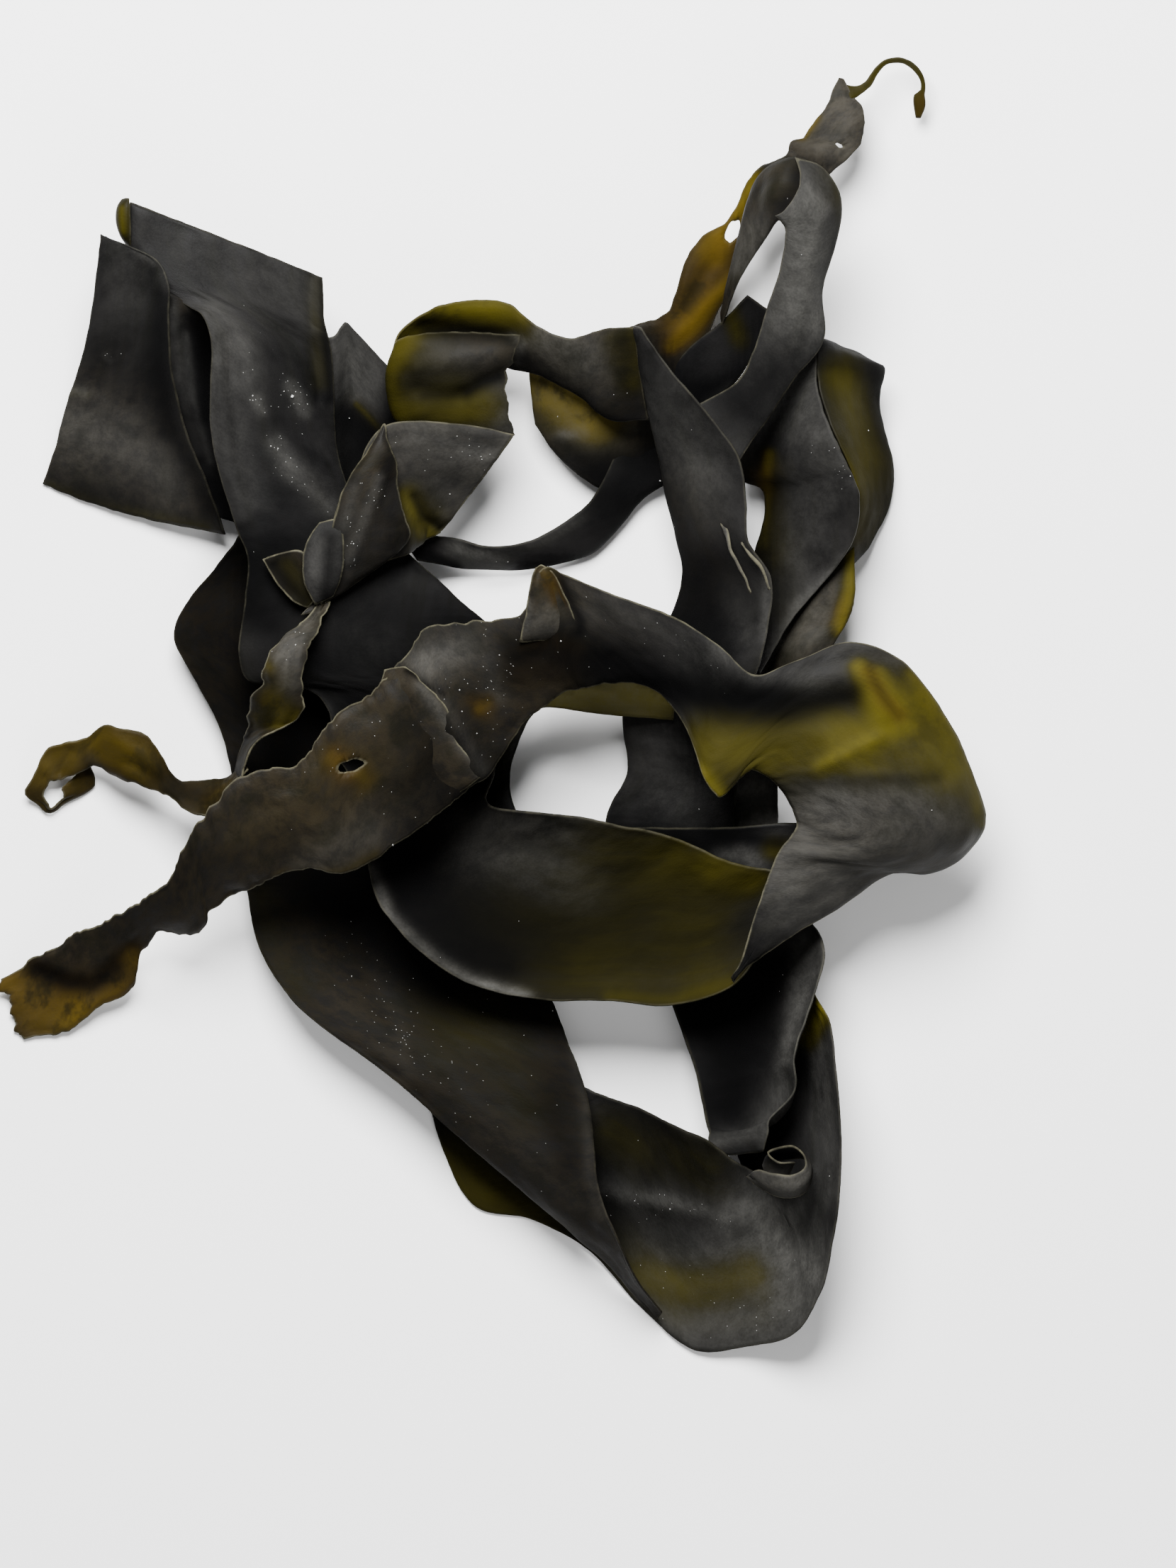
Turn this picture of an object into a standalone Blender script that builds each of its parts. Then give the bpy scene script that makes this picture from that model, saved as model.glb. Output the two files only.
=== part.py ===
"""Dried kelp frond: one branched, tangled blade of dried kelp lying on a flat surface.

The frond is a palm that splits into straps. Each strap is a thin leathery ribbon given by a few
stations. A station has the left edge, the right edge and how far the middle bows out, all in
millimetres. Smooth curves run through the stations, the ribbon gets its thickness, and all the
ribbons are united into one solid where they grow from one another or lie on one another.
"""
import bpy
import numpy as np

MM = 0.001
THICKNESS = 1.2          # of the dried blade, with its salt bloom
ROW_STEP = 8.0           # along a strap, between rows of facets
FACETS_ACROSS = 4        # across a strap
FACETS_ACROSS_NARROW = 2
NARROW = 14.0            # a strap narrower than this needs fewer facets across

BLADE_COLOUR = (0.035, 0.036, 0.030, 1.0)
BLADE_ROUGHNESS = 0.5

# Each station: left edge x, y, z, right edge x, y, z, bow.
# x runs to the right and y away from the front as the frond lies. z is the height over the
# surface. The bow is positive where the middle of the strap stands out on its upper side.

# The broad cut flap on the left, whose right side folds down under the palm.
LEFT_FLAP = [
    (-111.5, 134.5, 30, -128, 64, 0.6, -3),
    (-103, 130, 36, -114, 57, 6, -2),
    (-92.5, 120, 38, -80, 51, 10, -2),
    (-89, 115, 26, -75, 48.5, 7, -2),
    (-76, 96, 14, -64, 47, 9, 0),
]

# The pleat between the flap and the palm.
PLEAT = [
    (-92, 117, 31, -79, 113, 31, 0),
    (-93, 109, 22, -76, 106, 12, -1),
    (-93, 100, 18, -74, 98, 8, -1),
    (-92, 84, 16, -74, 82, 8, -1),
    (-86, 66, 14, -70, 66, 8, -1),
    (-79, 52, 12, -62, 52, 8, -1),
]

# The palm from its cut edge down to the centre, and the broad hollow strap that goes on from it.
PALM = [
    (-103.5, 142.5, 31, -49, 121.5, 27, 2),
    (-103.5, 131, 29, -49, 114, 27, 2),
    (-97, 119, 30, -48.5, 108, 26, 3),
    (-84, 112, 33, -47.5, 100, 24, 3),
    (-80.5, 100, 34, -46, 88, 22, 3),
    (-80.5, 82, 34, -45, 74, 21, 3),
    (-79, 68, 33, -42.5, 62, 21, 3),
    (-74, 54, 31, -33, 51, 19, 3),
    (-70, 42, 29, -22, 41.5, 18, 3),
    (-71, 30, 28, -11, 31.5, 19, 3),
    (-72.5, 16, 26, 0, 21, 20, 3),
    (-66, 3.5, 22, 3, 8, 20, 3),
    (-50, 2, 18, 3, -4, 19, 2),
    (-42, -18, 14, -0.5, -18, 19, -3),
    (-37, -38, 18, -2, -27, 24, -7),
    (-33.5, -54, 24, 12, -29.5, 28, -10),
    (-23, -67.5, 26, 24, -30.5, 29, -10),
    (-7, -78, 27, 34.5, -33, 30, -10),
    (12, -82, 27, 45, -35, 30, -10),
    (32, -82.5, 27, 55.5, -38.5, 31, -9),
    (50, -83.5, 27, 66, -43, 32, -7),
    (66, -78.5, 28, 77, -45.5, 32, -4),
    (75, -68, 33, 86, -47, 37, -2),
]

# The long strap from under the palm down to the lower loop.
LONG_STRAP = [
    (-70, 60, 30, -50, 58, 26.5, 0),
    (-72, 50, 17, -50, 47, 17, 0),
    (-79.5, 39.5, 8, -54, 34, 9, 0),
    (-88, 29, 8, -58, 24, 9, 1),
    (-91, 20, 9, -55, 15, 8, 1),
    (-86.5, 11, 9, -48, 5, 7, 1),
    (-79, -3, 8, -40, -10, 6, 1),
    (-75, -16, 7, -36, -26, 5, 1),
    (-73, -34, 6, -30, -40, 4, 1),
    (-70, -53, 8, -18, -54, 4, 0),
    (-66, -69, 12, -4, -68, 5, -1),
    (-55, -84.5, 16, 13.5, -79, 8, -1),
    (-31, -103, 18, 21, -96, 14, 3),
    (-10, -121, 18, 26.5, -114, 20, 5),
    (11, -138.5, 14, 28.5, -132, 26, 4),
    (29, -154, 8, 33.5, -148, 26, 1),
    (41, -166, 1.5, 42, -163, 16, 0),
]

# The loop at the bottom: from under the long strap, round the front and up the right side.
LOWER_LOOP = [
    (-27, -90, 14, -2, -79, 11, 0),
    (-20.5, -106, 3, 8, -93, 8, -1),
    (-15.5, -123, 1, 16, -102.5, 10, -1),
    (-6.5, -140, 0.6, 25, -107, 13, -2),
    (10, -144, 0.6, 32.5, -110, 16, -3),
    (27, -153.5, 0.6, 41, -113, 18, -4),
    (41, -169, 0.6, 50, -117.5, 20, -5),
    (56, -180.8, 1.5, 60, -122, 22, -7),
    (70, -180, 5, 68, -128, 20, -7),
    (84, -176, 14, 74, -131, 14, -6),
    (91.5, -164, 24, 73, -128, 8, -5),
    (95, -150, 32, 74, -121, 6, -4),
    (97, -134, 37, 77, -113, 4, -3),
    (97, -116, 38, 80, -103, 4, -2),
    (95.5, -98, 36, 80, -92, 4, -2),
    (91.5, -83.5, 30, 78, -76, 4, -1),
    (86, -66, 20, 72, -58, 5, 0),
    (80, -46, 14, 67, -42, 6, 0),
    (79.5, -24.5, 13, 65.5, -27, 10, 0),
    (80, -14, 15, 66, -16, 11, 0),
]

# The frayed blade on top, its ridge in the middle, and the big loop that comes back on the right.
TOP_BLADE = [
    (-140, -77, 3, -132, -94.5, 1, 0),
    (-128, -69, 9, -119, -90, 2, 0),
    (-116, -63, 16, -106.5, -82, 5, 0),
    (-105.5, -57, 24, -101.5, -70, 10, 0),
    (-94, -50, 32, -91, -62.5, 18, 1),
    (-88.5, -39, 38, -82, -60, 26, 1),
    (-81.5, -30, 42, -70, -50, 30, 2),
    (-71, -19, 44, -56, -45.5, 34, 2),
    (-55, -14, 44, -42, -46, 36, 2),
    (-45, -2, 45, -27, -37.5, 37, 3),
    (-32, 7, 45, -14, -28, 38, 4),
    (-20, 21.5, 44, -2, -17, 39, 5),
    (-8, 24.5, 44, 9, -3, 40, 4),
    (4, 26, 46, 19, 4.5, 41, 3),
    (9, 29, 50, 25.5, 11, 42, 2),
    (13, 39.5, 55, 27.5, 17.5, 44, 2),
    (20, 37.5, 52, 32.5, 14.5, 40, 1),
    (34, 32, 50, 41, 8.5, 36, 1),
    (50, 26, 48, 49.5, -0.5, 36, 0),
    (62.5, 18.5, 43, 55, -9, 37, 0),
    (73, 9.5, 40, 58.5, -19, 37, 0),
    (86, 14, 44, 63, -25, 37, 1),
    (100, 19, 48, 67, -20.5, 37, 2),
    (114.5, 13.5, 46, 71.5, -17, 38, 5),
    (127, -2.5, 38, 77, -19, 38, 10),
    (135, -20, 30, 81, -23.5, 38, 14),
    (137.5, -34, 24, 84, -29, 38, 14),
    (127, -44.5, 22, 84.5, -34, 38, 11),
    (111, -46.5, 26, 80, -40, 38, 6),
    (96, -56.5, 30, 76.5, -48, 38, 3),
    (82, -65, 33, 73, -58, 38, 1),
    (70, -73, 33, 69.5, -70, 37, 0),
    (66.5, -79.5, 28, 65.5, -77, 30, 0),
]

# The strap that hangs from the fold at the top, goes under the top blade and on to the knot.
MIDDLE_STRAP = [
    (39, 108, 40, 41, 107.5, 42, 0),
    (39.5, 96, 30, 49, 96, 43, 1),
    (43, 84, 24, 59, 84, 43, 1),
    (46, 72, 20, 68, 71.5, 43, 1),
    (48, 60, 18, 70, 59.5, 43, 2),
    (51, 48.5, 18, 71, 47.5, 42, 2),
    (52.5, 38.5, 18, 77.5, 37.5, 40, 2),
    (50, 27.5, 17, 77, 24, 39, 1),
    (43, 15, 14, 73.5, 10, 38, 0),
    (36, 0, 10, 67, -6, 24, 0),
    (37, -17, 8, 68, -20, 16, -1),
    (31, -31, 6, 67.5, -34, 12, -1),
    (33, -48, 4, 74, -46, 9, -1),
    (44, -69, 6, 87, -58, 16, -5),
    (49.5, -83, 10, 92.5, -68, 26, -10),
    (53.5, -94, 12, 89, -82, 30, -12),
    (57, -106, 13, 84, -97, 30, -12),
    (59, -116, 14, 84.5, -107, 28, -10),
    (60, -123, 20, 75, -117, 24, -3),
    (65, -128, 24, 76, -121, 25, 0),
    (71, -130, 22, 82, -125, 22, 0),
]

# The arched strap at the upper right, both of whose ends go under the middle strap.
ARCH = [
    (57, 86, 39, 68, 69, 41, 0),
    (67.5, 92, 35, 76.5, 81.5, 33, 1),
    (72.5, 100.5, 34, 84.5, 93.5, 32, 1),
    (76, 112, 38, 92.5, 104, 33, 1),
    (79.5, 121.5, 42, 92.5, 118, 36, 2),
    (82, 131, 45, 96, 131.5, 40, 3),
    (81.5, 137, 46, 97, 145, 44, 4),
    (79, 137.5, 44, 90.5, 154, 46, 4),
    (77, 136, 38, 80, 154.5, 42, 3),
    (75, 131, 33, 73, 148, 37, 1),
    (70, 123.5, 28, 69.5, 135, 31, 0),
    (66.5, 115.5, 23, 66, 122, 25, 0),
    (63, 108, 16, 63, 111, 17, 0),
]

# The broad strap on the right: its front face, and the outer face beyond the ridge.
RIGHT_STRAP_FRONT = [
    (82.5, 105, 26, 91, 105, 33, 0),
    (80, 92, 10, 90.5, 95, 28, 1),
    (76, 79, 9, 94.5, 80.5, 31, 1),
    (75.5, 67, 8, 100, 71.5, 32, 1),
    (74, 56, 8, 103, 60, 31, 1),
    (73, 46, 8, 100.5, 47, 27, 1),
    (73, 33, 8, 91, 34, 21, 1),
    (72.5, 22, 17, 82, 23, 22, 0),
    (71, 10, 32, 74.5, 10, 35, 0),
]
RIGHT_STRAP_OUTER = [
    (87, 105.5, 32, 97, 102, 20, 0),
    (86.5, 95, 27, 109.5, 96, 14, 1),
    (91, 80.5, 31, 108.5, 82, 8, 2),
    (96.5, 71.5, 32.5, 111.5, 70, 3, 2),
    (99, 60, 31.3, 110.5, 58, 0.6, 1),
    (97, 47, 27, 103, 48, 8, 0),
]

# The olive piece that shows below the broad right strap and goes under the big loop.
RIGHT_STRAP_LOWER = [
    (74, 50, 8, 101, 52, 8, 0),
    (76, 28, 3, 100, 30, 7, 0),
    (73, 14, 5, 95, 17, 10, 0),
    (72, 0, 8, 90, 2, 12, 0),
]

# The dark strap behind the arch.
DARK_STRAP = [
    (71, 116.5, 21, 77, 112.5, 18, 0),
    (64, 109.5, 17, 72.5, 100, 13, 0),
    (57, 104, 14, 66.5, 91, 10, 1),
    (49, 96, 12, 58, 85, 8, 1),
    (41, 86, 9, 50, 72, 6, 0),
]

# The amber strip that runs out to the thin tail at the top right.
AMBER_STRIP = [
    (94.5, 175.5, 15, 99, 177, 14, 0),
    (92.5, 171.5, 15, 103, 171, 15, 1),
    (88.5, 166, 17, 104, 164, 16, 1),
    (83.5, 160, 19, 102, 158.5, 17, 1),
    (81, 156, 20, 94, 152, 18, 1),
    (75, 152.5, 20, 84, 143, 18, 0),
    (69.5, 146, 19, 77, 138, 17, 0),
    (65, 137.5, 18, 72, 130, 16, 0),
    (57.5, 132.5, 17, 68, 124, 15, 1),
    (51.5, 121, 16, 65, 117, 14, 1),
    (48, 111.5, 15, 60, 106.5, 12, 1),
    (40, 108.5, 14, 54, 90, 9, 1),
    (30, 104, 13, 42, 68, 7, 1),
    (22, 99, 12, 31, 62, 7, 2),
    (14, 97, 11, 19, 70, 8, 2),
    (9.5, 95, 10, 11, 80, 9, 1),
]
TAIL = [
    (96, 176.5, 14, 99, 171, 15, 0),
    (101, 176, 13, 102.5, 172.5, 14, 0),
    (104.5, 178, 13, 105.5, 176, 13, 0),
    (108, 182, 12, 109, 179.5, 11, 0),
    (113.5, 184, 11, 113.5, 181, 10, 0),
    (118.5, 182.5, 9, 116.5, 179.5, 9, 0),
    (121.5, 177, 8, 119, 176, 8, 0),
    (121.5, 172, 7, 118.5, 171.5, 6, 0),
    (120, 167, 5, 118.5, 167, 5, 0),
]

# The thin dark strap across the open middle.
CROSS_STRAP = [
    (-28, 50, 21, -22, 42, 17, 0),
    (-13, 48.5, 12, -11, 40, 6, 0),
    (-4, 46, 12, -2, 39.5, 4, 0),
    (4, 46, 11, 8, 39.5, 3, 0),
    (12, 48.5, 10, 19, 41.5, 3, 1),
    (20, 53, 10, 28, 44.5, 3, 1),
    (26, 58, 10, 36, 53, 4, 1),
    (30, 64, 10, 42, 60, 5, 1),
    (34, 73, 9, 51, 66, 6, 0),
    (38, 84, 9, 56, 74, 6, 0),
]

# The dark flap behind the palm's right edge.
BACK_FLAP = [
    (-50, 105, 24.5, -50, 62, 22, 0),
    (-42, 109, 19, -42, 60, 6, 1),
    (-31, 98, 14, -32, 64, 3, 1),
    (-22, 90, 10, -22, 68, 4, 0),
]

# The hood: a strap that runs left, folds over on itself and comes back on top.
HOOD = [
    (39.5, 108, 39, 43, 82, 23, 1),
    (31, 107.5, 34, 32.5, 81.5, 20, 2),
    (20, 104.5, 30, 21, 89.5, 19, 2),
    (11.5, 108, 27, 10.5, 95, 17, 1),
    (4.5, 114.5, 25, 2, 96, 14, 1),
    (-6, 115.5, 23, -8, 96, 11, 2),
    (-17, 113.5, 22, -18, 94, 9, 3),
    (-26, 108.5, 22, -27, 90, 9, 4),
    (-29, 102, 26, -29.5, 84, 14, 5),
    (-25, 105, 32, -25, 79, 22, 4),
    (-16, 107, 34, -16, 77.5, 24, 3),
    (-6, 107, 35, -5, 77, 25, 2),
    (4.5, 105, 35, 4.5, 77.5, 26, 1),
]

# The pale-edged leaf in front of the palm, its ridge, and the frayed tail that hangs from it.
FRONT_LEAF = [
    (5.5, 78, 27, -15.5, 49.5, 19, 1),
    (-10, 80.5, 27.5, -20, 47.5, 19, 1),
    (-31, 80, 33, -22, 46, 22, 2),
    (-40, 66.5, 35, -26.5, 43, 26, 2),
    (-45, 57, 36, -34, 41, 29, 1),
    (-48, 44, 35, -40, 36.5, 30, 1),
    (-51, 32, 30, -46, 32, 27.5, 0),
    (-59.5, 26, 33, -49.5, 27, 32, 0),
    (-63, 19.5, 37, -52, 20, 37, 0),
    (-63.5, 11, 38, -53, 11, 40, 0),
    (-67, 5.5, 33, -55, 4, 38, 0),
    (-70, -0.5, 25, -57, -3.5, 33, 0),
    (-72, -6, 15, -65, -8.5, 30, 0),
    (-73, -12.5, 9, -70.5, -13, 28, 0),
    (-75.5, -19, 9, -75, -23, 26, 0),
    (-80, -20, 12, -80, -29.5, 22, 0),
    (-88.5, -21, 12, -88.5, -29, 18, 0),
    (-93.5, -16.5, 14, -94, -25.5, 14, 0),
    (-95.5, -10, 16, -100, -22, 12, 1),
    (-104, -6, 14, -108, -19, 8, 1),
    (-110, -4, 12, -114, -16.5, 4, 1),
    (-115.5, -7, 10, -117, -13, 4, 0),
    (-121, -10, 8, -119.5, -14.5, 3, 0),
    (-126, -14, 7, -123, -18, 3, 0),
    (-130, -20, 6, -126.5, -23, 2, 0),
    (-132.5, -24, 3, -127, -25.5, 4, 0),
    (-126, -30, 1, -125.5, -27.5, 5, 0),
    (-117.5, -25, 1, -121.5, -23.5, 5, 0),
    (-113, -22, 1, -117.5, -19, 5, 0),
    (-113, -15, 3, -117, -13, 6, 0),
]

# Two small leaves at the foot of the pale-edged leaf.
SIDE_LOBE = [
    (-50, 52.5, 33.5, -44, 55, 35, 0),
    (-54, 47, 32, -43, 47, 33.5, 1),
    (-54.5, 40, 31, -43, 39, 32, 1),
    (-52, 32.5, 29, -47, 32, 28, 0),
]
SMALL_LEAF = [
    (-66, 41.5, 34, -64, 43, 34, 0),
    (-64.5, 37.5, 32.5, -60, 45, 34, -1),
    (-60, 30, 31, -54, 46, 33, -1),
    (-54.5, 28, 30, -50, 36, 30, 0),
]

# The band behind the top blade, along the near edge of the open middle.
BACK_BAND = [
    (52, 14, 19.5, 50, -3, 17, 0),
    (30, 18, 20, 30, -1.5, 17, 0),
    (12, 14, 18, 15, 0.5, 15, 0),
    (-2, 4, 16, 10, -2, 13, 0),
    (-10, -10, 14, 6.5, -9, 12, 0),
    (-10, -30, 12, 4, -18, 11, 0),
    (-6, -44, 13, 5, -27, 12, 0),
    (0, -52, 17.5, 12, -40, 19, 0),
]

# The strap that shows past the hollow strap's far edge, on its way under the big loop.
UNDER_BAND = [
    (24, -40, 18, 22, -56, 17.5, 0),
    (36, -34, 20, 38, -56, 19.5, 0),
    (50, -33.5, 22, 52, -56, 21.5, 0),
    (66, -33.5, 24, 66, -54, 24, 0),
    (84, -32, 25, 80, -52, 26, 0),
    (94, -34, 26, 90, -50, 28, 0),
]

STRAPS = {
    "left_flap": LEFT_FLAP,
    "pleat": PLEAT,
    "palm": PALM,
    "long_strap": LONG_STRAP,
    "lower_loop": LOWER_LOOP,
    "top_blade": TOP_BLADE,
    "middle_strap": MIDDLE_STRAP,
    "arch": ARCH,
    "right_strap_front": RIGHT_STRAP_FRONT,
    "right_strap_outer": RIGHT_STRAP_OUTER,
    "right_strap_lower": RIGHT_STRAP_LOWER,
    "dark_strap": DARK_STRAP,
    "amber_strip": AMBER_STRIP,
    "tail": TAIL,
    "cross_strap": CROSS_STRAP,
    "back_flap": BACK_FLAP,
    "hood": HOOD,
    "front_leaf": FRONT_LEAF,
    "side_lobe": SIDE_LOBE,
    "small_leaf": SMALL_LEAF,
    "back_band": BACK_BAND,
    "under_band": UNDER_BAND,
}


def smooth_curve(values, places):
    """Read a smooth curve through the rows of values at the given places (0 is the first row)."""
    values = np.asarray(values, dtype=float)
    slopes = np.gradient(values, axis=0)
    index = np.clip(np.floor(places).astype(int), 0, len(values) - 2)
    t = (places - index)[:, None]
    start, end = values[index], values[index + 1]
    slope_in, slope_out = slopes[index], slopes[index + 1]
    return (
        (2 * t**3 - 3 * t**2 + 1) * start
        + (t**3 - 2 * t**2 + t) * slope_in
        + (3 * t**2 - 2 * t**3) * end
        + (t**3 - t**2) * slope_out
    )


def even_places(stations, step):
    """Places along the strap whose rows are about one step apart."""
    fine = np.linspace(0, len(stations) - 1, 20 * len(stations))
    rows = smooth_curve(stations, fine)
    left = np.linalg.norm(np.diff(rows[:, 0:3], axis=0), axis=1)
    right = np.linalg.norm(np.diff(rows[:, 3:6], axis=0), axis=1)
    length = np.concatenate([[0.0], np.cumsum(0.5 * (left + right))])
    count = max(3, int(round(length[-1] / step)) + 1)
    return np.interp(np.linspace(0, length[-1], count), length, fine)


def strap_surface(stations, step, facets_across):
    """The middle surface of a strap: rows of points from the left edge to the right edge."""
    stations = np.array(stations, dtype=float)
    rows = smooth_curve(stations, even_places(stations, step))
    left, right, bow = rows[:, 0:3], rows[:, 3:6], rows[:, 6]
    across = right - left
    along = np.gradient(0.5 * (left + right), axis=0)
    out = np.cross(along, across)
    out /= np.linalg.norm(out, axis=1)[:, None]
    if out[:, 2].mean() < 0:
        out = -out
    share = np.linspace(0, 1, facets_across + 1)
    arc = 4 * share * (1 - share)
    flat = left[:, None, :] + share[None, :, None] * across[:, None, :]
    return flat + arc[None, :, None] * bow[:, None, None] * out[:, None, :]


def thicken(surface, thickness):
    """Close a surface into a ribbon: vertices and faces that point out."""
    along = np.gradient(surface, axis=0)
    across = np.gradient(surface, axis=1)
    normal = np.cross(along, across)
    normal /= np.linalg.norm(normal, axis=2)[:, :, None]
    rows, columns = surface.shape[:2]
    upper = (surface + 0.5 * thickness * normal).reshape(-1, 3)
    lower = (surface - 0.5 * thickness * normal).reshape(-1, 3)
    shift = rows * columns

    def at(row, column):
        return row * columns + column

    faces = []
    for row in range(rows - 1):
        for column in range(columns - 1):
            a, b = at(row, column), at(row + 1, column)
            c, d = at(row + 1, column + 1), at(row, column + 1)
            faces += [[a, b, c], [a, c, d]]
            faces += [[shift + c, shift + b, shift + a], [shift + d, shift + c, shift + a]]
    rim = [at(row, 0) for row in range(rows)]
    rim += [at(rows - 1, column) for column in range(1, columns)]
    rim += [at(row, columns - 1) for row in range(rows - 2, -1, -1)]
    rim += [at(0, column) for column in range(columns - 2, 0, -1)]
    for here, there in zip(rim, rim[1:] + rim[:1]):
        faces += [[there, here, shift + here], [there, shift + here, shift + there]]
    return np.vstack([upper, lower]), faces


def mean_width(stations):
    stations = np.array(stations, dtype=float)
    return np.linalg.norm(stations[:, 3:6] - stations[:, 0:3], axis=1).mean()


def ribbon(stations):
    facets_across = FACETS_ACROSS_NARROW if mean_width(stations) < NARROW else FACETS_ACROSS
    return thicken(strap_surface(stations, ROW_STEP, facets_across), THICKNESS)


def resting_point(ribbons):
    """The middle of the whole frond in plan, at the height of its lowest point."""
    points = np.vstack([ribbon_points for ribbon_points, _ in ribbons.values()])
    low, high = points.min(axis=0), points.max(axis=0)
    return np.array([0.5 * (low[0] + high[0]), 0.5 * (low[1] + high[1]), low[2]])


def strap_object(name, points, faces, material):
    mesh = bpy.data.meshes.new(name)
    mesh.from_pydata((points * MM).tolist(), [], faces)
    mesh.materials.append(material)
    obj = bpy.data.objects.new(name, mesh)
    bpy.context.scene.collection.objects.link(obj)
    return obj


def blade_material():
    material = bpy.data.materials.new("dried_blade")
    material.use_nodes = True
    shader = material.node_tree.nodes["Principled BSDF"]
    shader.inputs["Base Color"].default_value = BLADE_COLOUR
    shader.inputs["Roughness"].default_value = BLADE_ROUGHNESS
    shader.inputs["Metallic"].default_value = 0.0
    return material


def unite(body, others):
    """Unite the body with the other straps, which stay as hidden guides."""
    for other in others:
        other.hide_render = True
        other.display_type = "WIRE"
        union = body.modifiers.new("with_" + other.name, "BOOLEAN")
        union.operation = "UNION"
        union.solver = "EXACT"
        union.object = other


def main():
    for obj in list(bpy.data.objects):
        bpy.data.objects.remove(obj)
    material = blade_material()
    ribbons = {name: ribbon(stations) for name, stations in STRAPS.items()}
    origin = resting_point(ribbons)
    straps = [
        strap_object(name, points - origin, faces, material)
        for name, (points, faces) in ribbons.items()
    ]
    body = straps[0]
    body.name = "kelp_frond"
    unite(body, straps[1:])


main()
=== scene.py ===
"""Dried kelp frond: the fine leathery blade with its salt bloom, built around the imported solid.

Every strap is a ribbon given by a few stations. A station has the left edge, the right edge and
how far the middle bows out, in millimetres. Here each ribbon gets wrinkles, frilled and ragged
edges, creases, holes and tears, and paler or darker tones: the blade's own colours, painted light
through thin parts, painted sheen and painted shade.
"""

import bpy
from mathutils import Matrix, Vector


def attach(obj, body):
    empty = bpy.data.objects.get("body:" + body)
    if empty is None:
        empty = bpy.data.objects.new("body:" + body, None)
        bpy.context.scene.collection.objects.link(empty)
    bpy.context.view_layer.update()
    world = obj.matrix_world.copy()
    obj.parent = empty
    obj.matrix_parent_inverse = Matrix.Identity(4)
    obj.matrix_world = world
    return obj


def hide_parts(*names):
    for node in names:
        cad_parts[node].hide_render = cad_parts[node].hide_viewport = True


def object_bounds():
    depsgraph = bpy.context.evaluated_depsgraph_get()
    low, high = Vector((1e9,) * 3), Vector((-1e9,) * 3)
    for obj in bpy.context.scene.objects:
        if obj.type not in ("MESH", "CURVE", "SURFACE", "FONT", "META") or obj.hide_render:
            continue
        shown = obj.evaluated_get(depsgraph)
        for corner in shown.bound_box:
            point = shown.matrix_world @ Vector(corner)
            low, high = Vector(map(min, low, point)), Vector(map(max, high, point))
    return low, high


bl_info = {
    "name": "Dried Kelp Frond",
    "version": (1, 0, 0),
    "blender": (4, 5, 0),
    "location": "3D View > Sidebar > Kelp",
    "description": "Builds a tangled frond of dried kelp with salt crystals on it",
    "category": "Object",
}

import bpy
import numpy as np
from bpy.props import FloatProperty, FloatVectorProperty, IntProperty, PointerProperty
from bpy.types import Operator, Panel, PropertyGroup
from mathutils import Vector

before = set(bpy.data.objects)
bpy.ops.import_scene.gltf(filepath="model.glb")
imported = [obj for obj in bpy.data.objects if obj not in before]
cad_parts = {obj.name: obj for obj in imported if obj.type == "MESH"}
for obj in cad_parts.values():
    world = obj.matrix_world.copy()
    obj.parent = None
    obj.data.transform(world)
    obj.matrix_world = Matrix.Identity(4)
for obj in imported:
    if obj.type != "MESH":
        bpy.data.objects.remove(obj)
CAD_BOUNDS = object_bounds()

MM = 0.001
NODE = "kelp_frond"

# Where the stations' own origin lies against the middle of the frond at its lowest point, in mm.
STATION_SHIFT = np.array([1.26, -0.73, 0.06])

# The straps, in millimetres. x runs to the right, y away from the front as the frond lies, and z
# is the height over the surface. A strap is made from these rows of numbers:
# "stations": left edge x, y, z, right edge x, y, z, and the bow, which is positive where the
#   middle of the strap stands out on its upper side.
# "ragged", "frill", "wrinkle": how torn, waved and wrinkled it is. "rim": how pale its edges
#   are, partly pale torn edge and partly a painted highlight along it.
# "ends": for each cut end, how far it bulges and how torn it is.
# "glow" is painted light that comes through the thin blade, from olive to bright yellow, partly the
#   blade's own olive, and "amber" turns that orange. "brown" is old dry blade and "salt" is whitish
#   salt. The bloom tone is the whitish salt film and also painted sheen where light falls on the
#   blade. The darkest tone is painted shade: the near-black of hollows, folds and straps that lie
#   under others. Each has its level all over the strap, then its strokes.
# A stroke: strength, reach and the x, y of its points. A strength below zero takes tone away.
# "creases": the height that a fold line stands out by, its reach and its points. "frays": how
#   much more torn an edge is near a line, its reach and its points.
# "holes" are ovals: middle x, y, half sizes and turn in degrees.
PLAIN_LOOK = {
    "ragged": 0.1, "frill": 0.2, "rim": 0.3, "wrinkle": 0.8,
    "ends": ((0.1, 0.1), (0.1, 0.1)), "frays": [], "creases": [], "holes": [],
}
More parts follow.
